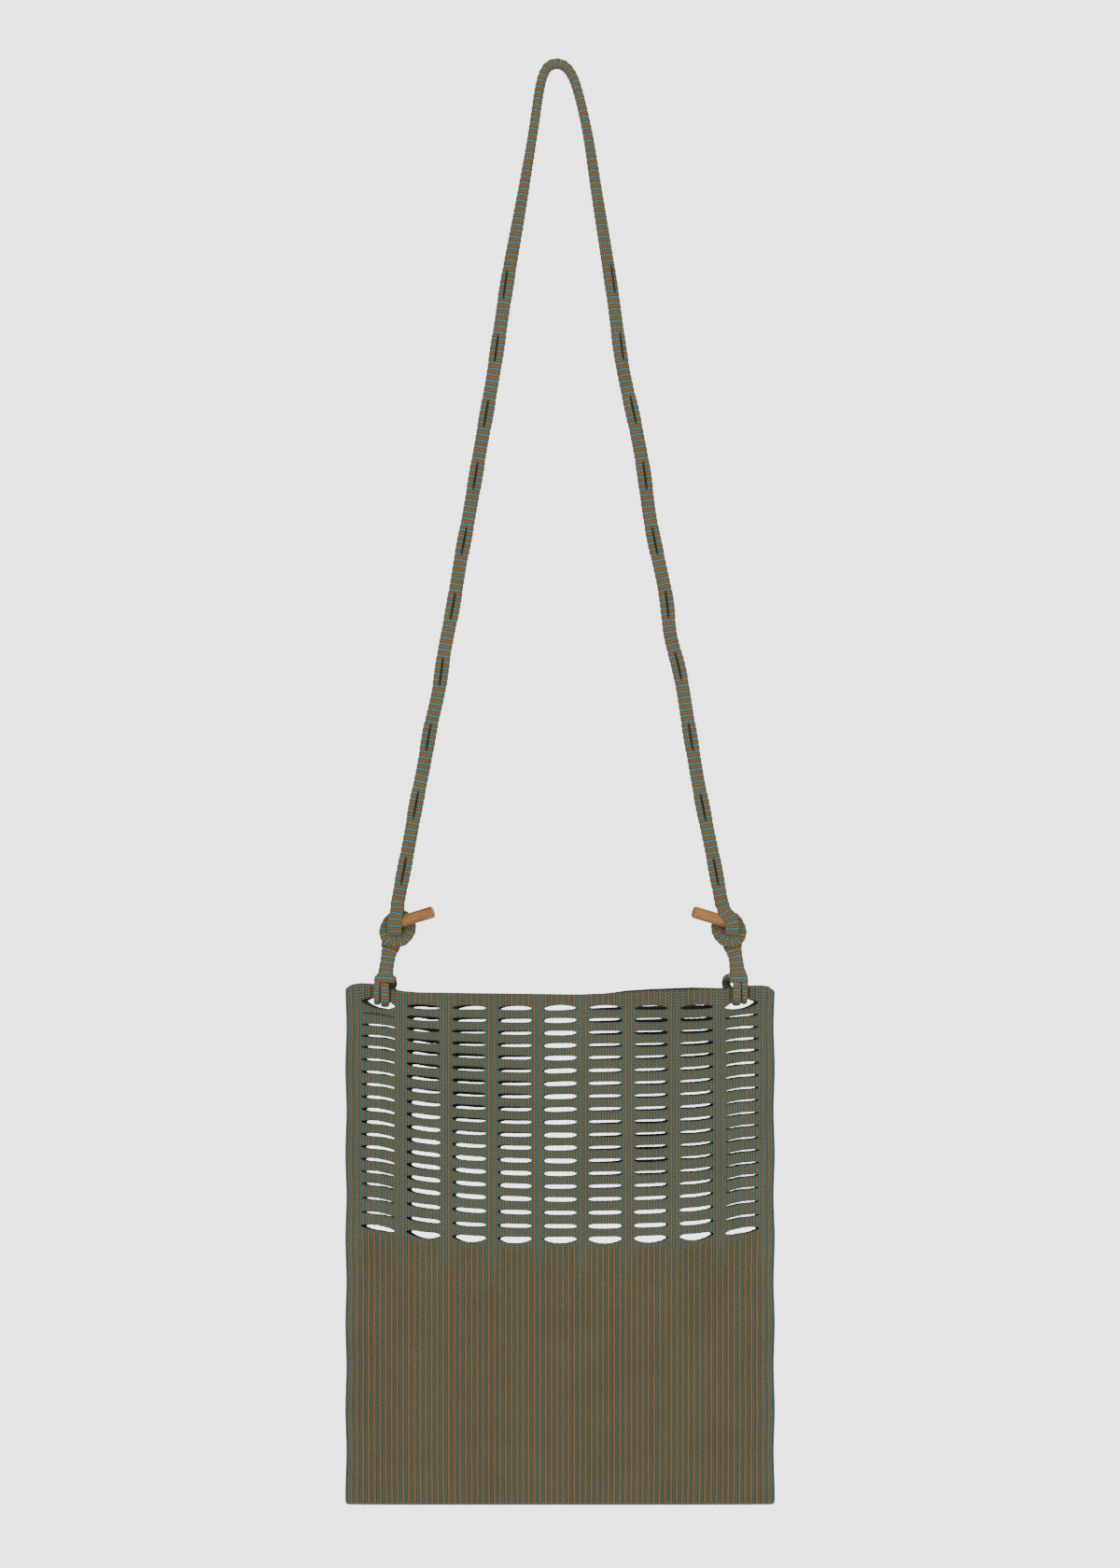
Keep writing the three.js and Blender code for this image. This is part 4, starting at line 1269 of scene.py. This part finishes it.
class Knot:
    """A strap end looped round a peg and a leader's ring, and the leader's hitch below."""

    # The strap end's loop from the side: y and z, down its back and up its front
    LOOP = (
        (0.0, -551.5), (3.0, -555.0), (5.2, -559.3), (6.2, -564.0), (6.0, -569.0), (4.0, -573.4),
        (-0.6, -575.0), (-5.2, -573.6), (-7.3, -568.8), (-7.2, -564.0), (-5.6, -559.3), (-2.9, -555.0),
    )
    # The leader's ring from its foot round: outward, y and z
    RING = (
        (0.6, -0.3, -579.6), (4.9, -0.3, -577.4), (6.2, 0.0, -571.9), (4.7, 0.6, -565.2),
        (0.0, 0.9, -562.0), (-6.2, 2.4, -562.0), (-10.0, 2.5, -567.5), (-8.9, 1.2, -573.2),
        (-5.0, 0.0, -578.2),
    )
    RING_MIDDLE = -1.7
    # How far forward the neck lies at depths down it, to come over the pouch's edge
    FORWARD_DEPTHS = (580.0, 584.0, 588.0, 597.0, 601.5, 605.5, 607.6)
    FORWARD = (0.8, 0.8, 0.0, -0.4, -3.0, -5.4, -5.8)
    # How much of the strap's sideways offset is left at heights down the end loop
    LEAN_HEIGHTS = (-567.0, -563.0, -559.0, -551.5)
    LEAN_SHARES = (0.0, 0.3, 0.7, 1.0)
    # Heights over which the pieces change shape and shade, from no change to the whole of it
    LOOP_SWELL = (-557.0, -565.0)
    LOOP_TIP = (-573.0, -576.0)
    RING_FOOT = (-563.0, -574.5)
    NECK_FLAT = (-598.0, -606.0)
    UNDER_RING = (-586.0, -583.6)
    OVER_HITCH = (-606.2, -607.3)
    IN_SLIT = (-617.5, -622.5)
    BEHIND = (-1.0, 3.0)  # the same along Y
    # Stations along the pieces
    LOOP_STATIONS = 110
    RING_STATIONS = 160
    NECK_STATIONS = 90
    HITCH_STATIONS = 300
    # The peg's stations from its ends, its even ones between, and its sides
    PEG_EDGE = (0.0, 0.12, 0.35, 0.7, 1.2)
    PEG_MARGIN = 3.0
    PEG_STATIONS = 14
    PEG_SIDES = 40

    def __init__(self, sizes: KnotSizes) -> None:
        """Keeps the sizes."""
        self.sizes = sizes

    def at(self, rows: np.ndarray) -> np.ndarray:
        """Rows that start with outward, y and z, turned to points on this knot's side.

        Args:
            rows: The rows, with any further values behind the first three.

        Returns:
            The rows with X in place of outward.
        """
        table = np.array(rows, float)
        table[:, 0] = self.sizes.knot_x + self.sizes.side.value * table[:, 0]
        return table

    def finish(self, made: bpy.types.Object, material: bpy.types.Material, node: str, slot: str) -> None:
        """Gives a piece its finish and body, and hides the solid that it stands for.

        Args:
            made: The piece's object.
            material: Its finish.
            node: The solid that it stands for.
            slot: Not used.
        """
        made.data.materials.append(material)
        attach(made, BODY)
        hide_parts(node)

    def name(self, part: str) -> str:
        """A piece's name on this side."""
        return f"{part}_{self.sizes.side.name.lower()}"

    def end_loop(self, material: bpy.types.Material) -> None:
        """The strap's last buttonhole, opened front to back round peg and ring.

        Its limbs swell below the strap and narrow again to a rounded tip.

        Args:
            material: The strap's knit.
        """
        s = self.sizes
        loop = np.array(self.LOOP)
        out = s.strap_offset * np.interp(loop[:, 1], self.LEAN_HEIGHTS, self.LEAN_SHARES)
        path = along_curve(self.at(np.column_stack([out, loop])), self.LOOP_STATIONS, True)
        swell = s.loop_swell * smooth_step(*self.LOOP_SWELL, path[:, 2])
        narrow = s.loop_narrowing * smooth_step(*self.LOOP_TIP, path[:, 2])
        band = KnitBand(
            path=path,
            wide=np.tile([1.0, 0.0, 0.0], (len(path), 1)),
            half_width=s.loop_half_width + swell - narrow,
            half_thickness=np.full(len(path), s.limb),
            closed=True,
            rib_pitch=s.rib_pitch,
        )
        made = band.surface().to_object(self.name("strap_end"))
        self.finish(made, material, "shoulder_strap", "strap_knit")

    def ring(self) -> KnitBand:
        """The leader's upper end, opened to a ring whose ribs fan round the strap's tip.

        Returns:
            The ring's band.
        """
        s = self.sizes
        rows = np.array(self.RING)
        rows[:, 0] = self.RING_MIDDLE + (rows[:, 0] - self.RING_MIDDLE) * s.ring_width
        path = along_curve(self.at(rows), self.RING_STATIONS, True)
        along = np.roll(path, -1, axis=0) - np.roll(path, 1, axis=0)
        return KnitBand(
            path=path,
            wide=np.cross(along, [0.0, 1.0, 0.0]),
            half_width=s.ring_half_width + s.ring_foot_swell * smooth_step(*self.RING_FOOT, path[:, 2]),
            half_thickness=np.full(len(path), s.ring_half_thickness),
            closed=True,
            rib_pitch=s.ring_pitch,
        )

    def neck(self) -> tuple[KnitBand, np.ndarray]:
        """The leader's neck, a flat band that widens into the ring and over the hitch.

        Returns:
            The band, and how far its two ends lie in the shade of the ring and over the hitch.
        """
        s = self.sizes
        z, middle, half = np.array(s.neck).T
        forward = np.interp(-z, self.FORWARD_DEPTHS, self.FORWARD)
        rows = self.at(np.column_stack([middle, forward, z, half]))
        line = along_curve(rows, self.NECK_STATIONS, False)
        z = line[:, 2]
        band = KnitBand(
            path=line[:, :3],
            wide=np.tile([1.0, 0.0, 0.0], (len(line), 1)),
            half_width=line[:, 3],
            half_thickness=s.neck_half_thickness - s.neck_flattening * smooth_step(*self.NECK_FLAT, z),
            closed=False,
            rib_pitch=s.rib_pitch,
            round_ends=(True, True),
        )
        # Painted shade on the neck: under the ring's foot and where it lies over the hitch
        shade = s.ring_shade * smooth_step(*self.UNDER_RING, z)
        shade += s.hitch_shade * smooth_step(*self.OVER_HITCH, z)
        return band, np.repeat(shade[:, None], len(section_angles(QUARTER_TURN)), axis=1)

    def strand(self, strand: StrandSizes, away: float) -> np.ndarray:
        """One strand's rows: outward, y, z, half width and how much the width lies along X and Z.

        It leaves the neck's side over the pouch's edge, goes down the back, through the corner slit
        and up the front, where it ends under the neck.

        Args:
            strand: The strand's sizes.
            away: 1 for the outer strand and -1 for the inner one.

        Returns:
            The rows, from the neck on.
        """
        s = self.sizes
        _, middle, half = s.neck[-2]
        start = middle + away * (half - s.neck_inset)
        place, lobe, half = strand.place, strand.lobe, strand.half_width
        lower = strand.foot + s.strand_half_thickness
        rows = (
            (start, -3.2, -601.4, 1.9, away, 0.0),
            (lobe - 0.8 * away, -1.4, -603.4, 2.6, away, 0.0),
            (lobe, 3.6, -605.2, s.lobe_half, away, 0.0),
            (lobe, 5.9, -610.6, s.lobe_half, away, 0.0),
            (place, 5.9, -616.3, half, away, 0.0),
            (place, 3.2, -620.0, half, away, 0.0),
            (place, -2.4, lower, half, away, 0.0),
            (place, -5.7 + 0.4 * away, lower + 3.0, half, away, 0.0),
            (place, -6.3 + 0.3 * away, -611.8, half, away, 0.0),
            (place - 0.4 * away, -5.1, -607.2, half, away, 0.3 * s.side.value),
        )
        return np.array(rows)

    def hitch(self) -> KnitBand:
        """The leader's lower end, one bight whose two strands run through the corner slit.

        Returns:
            The hitch's band.
        """
        s = self.sizes
        outer, inner = self.strand(s.outer, 1.0), self.strand(s.inner, -1.0)
        between = ((s.outer.place + s.inner.place) / 2, -2.4, -604.6, 2.2, 0.0, float(s.side.value))
        rows = np.concatenate([outer, [between], inner[::-1]])
        line = along_curve(self.at(rows), self.HITCH_STATIONS, False)
        return KnitBand(
            path=line[:, :3],
            wide=np.column_stack([line[:, 4], np.zeros(len(line)), line[:, 5]]),
            half_width=line[:, 3],
            half_thickness=np.full(len(line), s.strand_half_thickness),
            closed=False,
            rib_pitch=s.rib_pitch,
            round_ends=(True, True),
        )

    def leader(self, material: bpy.types.Material) -> None:
        """The ring, neck and hitch of one leader.

        Args:
            material: The strap's knit.
        """
        neck, shade = self.neck()
        shaded = neck.surface()
        shaded.hollow[: shade.size] = shade.ravel()
        hitch = self.hitch().surface()
        # Painted shade on the hitch: darker down into the corner slit and on the strands behind the pouch's
        # edge
        hitch.hollow += self.sizes.slit_shade * smooth_step(*self.IN_SLIT, hitch.points[:, 2])
        hitch.hollow += self.sizes.back_shade * smooth_step(*self.BEHIND, hitch.points[:, 1])
        surfaces = {"ring": self.ring().surface(), "neck": shaded, "hitch": hitch}
        for part, surface in surfaces.items():
            made = surface.to_object(self.name(f"leader_{part}"))
            self.finish(made, material, self.name("leader"), "strap_knit")

    def peg_axis(self) -> np.ndarray:
        """The peg's direction: inward, forward and up.

        Returns:
            The direction, of length 1.
        """
        s = self.sizes
        level = math.cos(s.peg_lean)
        inward = -s.side.value * math.cos(s.peg_rise) * level
        return np.array([inward, -math.sin(s.peg_lean), math.sin(s.peg_rise) * level])

    def peg(self) -> None:
        """A turned peg: a profile of radius against length, carried round its axis.

        The radius falls at both ends with the square of the way into the rounding, and wavers by
        a sine along the peg.
        """
        s = self.sizes
        axis = self.peg_axis()
        start = np.array([s.knot_x, *s.peg_middle]) - axis * s.peg_start
        edge = np.array(self.PEG_EDGE)
        even = np.linspace(self.PEG_MARGIN, s.peg_length - self.PEG_MARGIN, self.PEG_STATIONS)
        lengths = np.concatenate([edge, even, s.peg_length - edge[::-1]])
        ease = np.clip(np.minimum(lengths, s.peg_length - lengths) / s.peg_edge, 0, 1)
        rounding = 1 - s.peg_edge_drop * (1 - ease) ** 2
        radius = s.peg_radius * rounding * (1 + s.peg_waver * np.sin(lengths / s.peg_waver_reach))
        side = np.cross(axis, [0, 0, 1.0])
        side /= np.linalg.norm(side)
        other = np.cross(side, axis)
        count, sides = len(lengths), self.PEG_SIDES
        turns = 2 * np.pi * np.arange(sides) / sides
        ring = np.cos(turns)[:, None] * side + np.sin(turns)[:, None] * other
        grid = start + lengths[:, None, None] * axis + radius[:, None, None] * ring[None]
        ends = np.stack([start, start + axis * s.peg_length])
        quads, fans = tube_quads(count - 1, count, sides), tube_ends(count, sides)
        surface = Surface(
            np.concatenate([grid.reshape(-1, 3), ends]),
            quads,
            np.zeros((*quads.shape, 2)),
            fans,
            np.zeros((*fans.shape, 2)),
        )
        made = facing_out(surface).to_object(self.name("peg"))
        wood = WaxedBeech(self.name("waxed_beech"), tuple(axis)).build()
        self.finish(made, wood, self.name("toggle"), "peg_wood")

    def build(self, knit: bpy.types.Material) -> None:
        """Makes every piece of the knot.

        Args:
            knit: The strap's knit.
        """
        self.end_loop(knit)
        self.leader(knit)
        self.peg()


# The studio


@dataclass(frozen=True)
class Studio:
    """Camera, lights, floor and surround."""

    middle_x: float = 1.86
    middle_z: float = -475.5
    distance: float = 1600.0
    frame_height: float = 1041.6
    sensor: float = 36.0
    clip_end: float = 20.0  # metres
    floor_z: float = -1312.0
    floor_near: float = -4000.0
    floor_far: float = 900.0
    floor_half_width: float = 6000.0
    # Each light's name, place and size in metres, and power
    lights: tuple[tuple[str, tuple[float, float, float], float, float], ...] = (
        ("key", (-0.9, -1.9, 0.7), 1.6, 24.0),
        ("fill", (1.3, -1.7, -0.2), 1.8, 13.0),
        ("low", (0.0, -1.2, -1.1), 1.2, 3.0),
        ("behind", (0.4, 1.6, 0.3), 1.8, 20.0),
    )
    surround: float = 0.5
    seen_white: float = 3.2

    def camera(self) -> None:
        """A level camera straight before the bag, framed as the photograph is."""
        data = bpy.data.cameras.new("camera")
        data.sensor_width = self.sensor
        data.lens = self.sensor * self.distance / self.frame_height
        data.clip_end = self.clip_end
        camera = bpy.data.objects.new("camera", data)
        camera.location = (self.middle_x * MM, -self.distance * MM, self.middle_z * MM)
        camera.rotation_euler = (math.pi / 2, 0.0, 0.0)
        bpy.context.scene.collection.objects.link(camera)
        bpy.context.scene.camera = camera

    def light(self, name: str, place: tuple[float, float, float], size: float, power: float) -> None:
        """A square soft light that faces the bag's middle.

        Args:
            name: The light's name.
            place: Its place in metres.
            size: Its side in metres.
            power: Its power in watts.
        """
        data = bpy.data.lights.new(name, "AREA")
        data.size = size
        data.energy = power
        lamp = bpy.data.objects.new(name, data)
        lamp.location = place
        middle = np.array([self.middle_x, 0, self.middle_z]) * MM
        towards = middle - np.array(place)
        across = math.hypot(towards[0], towards[1])
        lamp.rotation_euler = (math.atan2(across, -towards[2]), 0.0, math.atan2(-towards[0], towards[1]))
        bpy.context.scene.collection.objects.link(lamp)

    def plane(self, name: str, corners: list[tuple[float, float, float]]) -> bpy.types.Object:
        """A flat sheet of the studio through four corners in millimetres.

        Args:
            name: The sheet's name.
            corners: Its corners in order round it.

        Returns:
            The sheet's object.
        """
        mesh = bpy.data.meshes.new(name)
        mesh.from_pydata([tuple(c * MM for c in corner) for corner in corners], [], [(0, 1, 2, 3)])
        made = bpy.data.objects.new(name, mesh)
        bpy.context.scene.collection.objects.link(made)
        return made

    def build(self) -> None:
        """Makes the floor, the lights and a white surround that is bright only where it is seen."""
        near, far, wide = self.floor_near, self.floor_far, self.floor_half_width
        corners = ((-wide, near), (wide, near), (wide, far), (-wide, far))
        floor = self.plane("floor", [(x, y, self.floor_z) for x, y in corners])
        floor.data.materials.append(PaleGround("studio_white").build())
        for name, place, size, power in self.lights:
            self.light(name, place, size, power)
        world = bpy.data.worlds.new("white_surround")
        world.use_nodes = True
        tree = world.node_tree
        tree.nodes.clear()
        white = linear("#FFFFFF")
        lit, seen = (
            add_node(tree, "ShaderNodeBackground", inputs={"Color": white, "Strength": strength})
            for strength in (self.surround, self.seen_white)
        )
        path = add_node(tree, "ShaderNodeLightPath")
        mixed = add_node(
            tree,
            "ShaderNodeMixShader",
            inputs={0: path.outputs["Is Camera Ray"], 1: lit, 2: seen},
        )
        add_node(tree, "ShaderNodeOutputWorld", inputs={0: mixed})
        bpy.context.scene.world = world


def main() -> None:
    """Builds the studio and the bag's pieces in order."""
    logging.basicConfig(level=logging.INFO, format="%(name)s: %(message)s")
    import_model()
    studio = Studio()
    studio.camera()
    studio.build()
    pouch_knit = PlatedKnit("ribbed_wool_knit").build()
    strap_knit = PlatedKnit("tubular_wool_knit", teal="#48777A", teal_bright="#4B8489", crest=0.46).build()
    pieces = [PouchPanel(face, PouchSizes()).build(pouch_knit) for face in Face]
    pieces.append(Strap(StrapSizes()).build(strap_knit))
    for made in pieces:
        LOG.info("%s has %d faces", made.name, len(made.data.polygons))
    knots = (
        KnotSizes(
            side=Side.LEFT,
            knot_x=-107.6,
            strap_offset=-2.0,
            ring_width=1.0,
            neck=(
                (-579.0, 1.5, 5.4), (-582.0, 2.9, 6.6), (-584.8, 3.3, 6.0), (-587.5, 4.1, 5.3),
                (-590.0, 4.6, 5.0), (-594.0, 5.2, 4.8), (-598.0, 5.9, 5.0), (-601.8, 6.1, 5.3),
                (-604.4, 6.3, 6.3), (-607.6, 6.5, 6.5),
            ),
            outer=StrandSizes(place=11.9, half_width=2.1, foot=-621.9, lobe=11.2),
            inner=StrandSizes(place=6.5, half_width=2.8, foot=-623.5, lobe=2.4),
        ),
        KnotSizes(
            side=Side.RIGHT,
            knot_x=115.6,
            strap_offset=-6.8,
            ring_width=0.94,
            neck=(
                (-579.0, -0.5, 5.4), (-582.0, 0.8, 6.7), (-584.8, 1.4, 5.9), (-588.0, 2.2, 5.2),
                (-591.0, 2.9, 4.8), (-594.0, 3.3, 4.9), (-599.0, 3.9, 5.2), (-602.0, 4.5, 5.8),
                (-604.4, 4.7, 6.0), (-607.6, 4.7, 5.8),
            ),
            outer=StrandSizes(place=8.5, half_width=2.0, foot=-621.2, lobe=8.6),
            inner=StrandSizes(place=3.3, half_width=2.75, foot=-622.8, lobe=-2.6),
        ),
    )
    for sizes in knots:
        Knot(sizes).build(strap_knit)
        LOG.info("knot on the %s is made", sizes.side.name.lower())


if __name__ == "__main__":
    main()
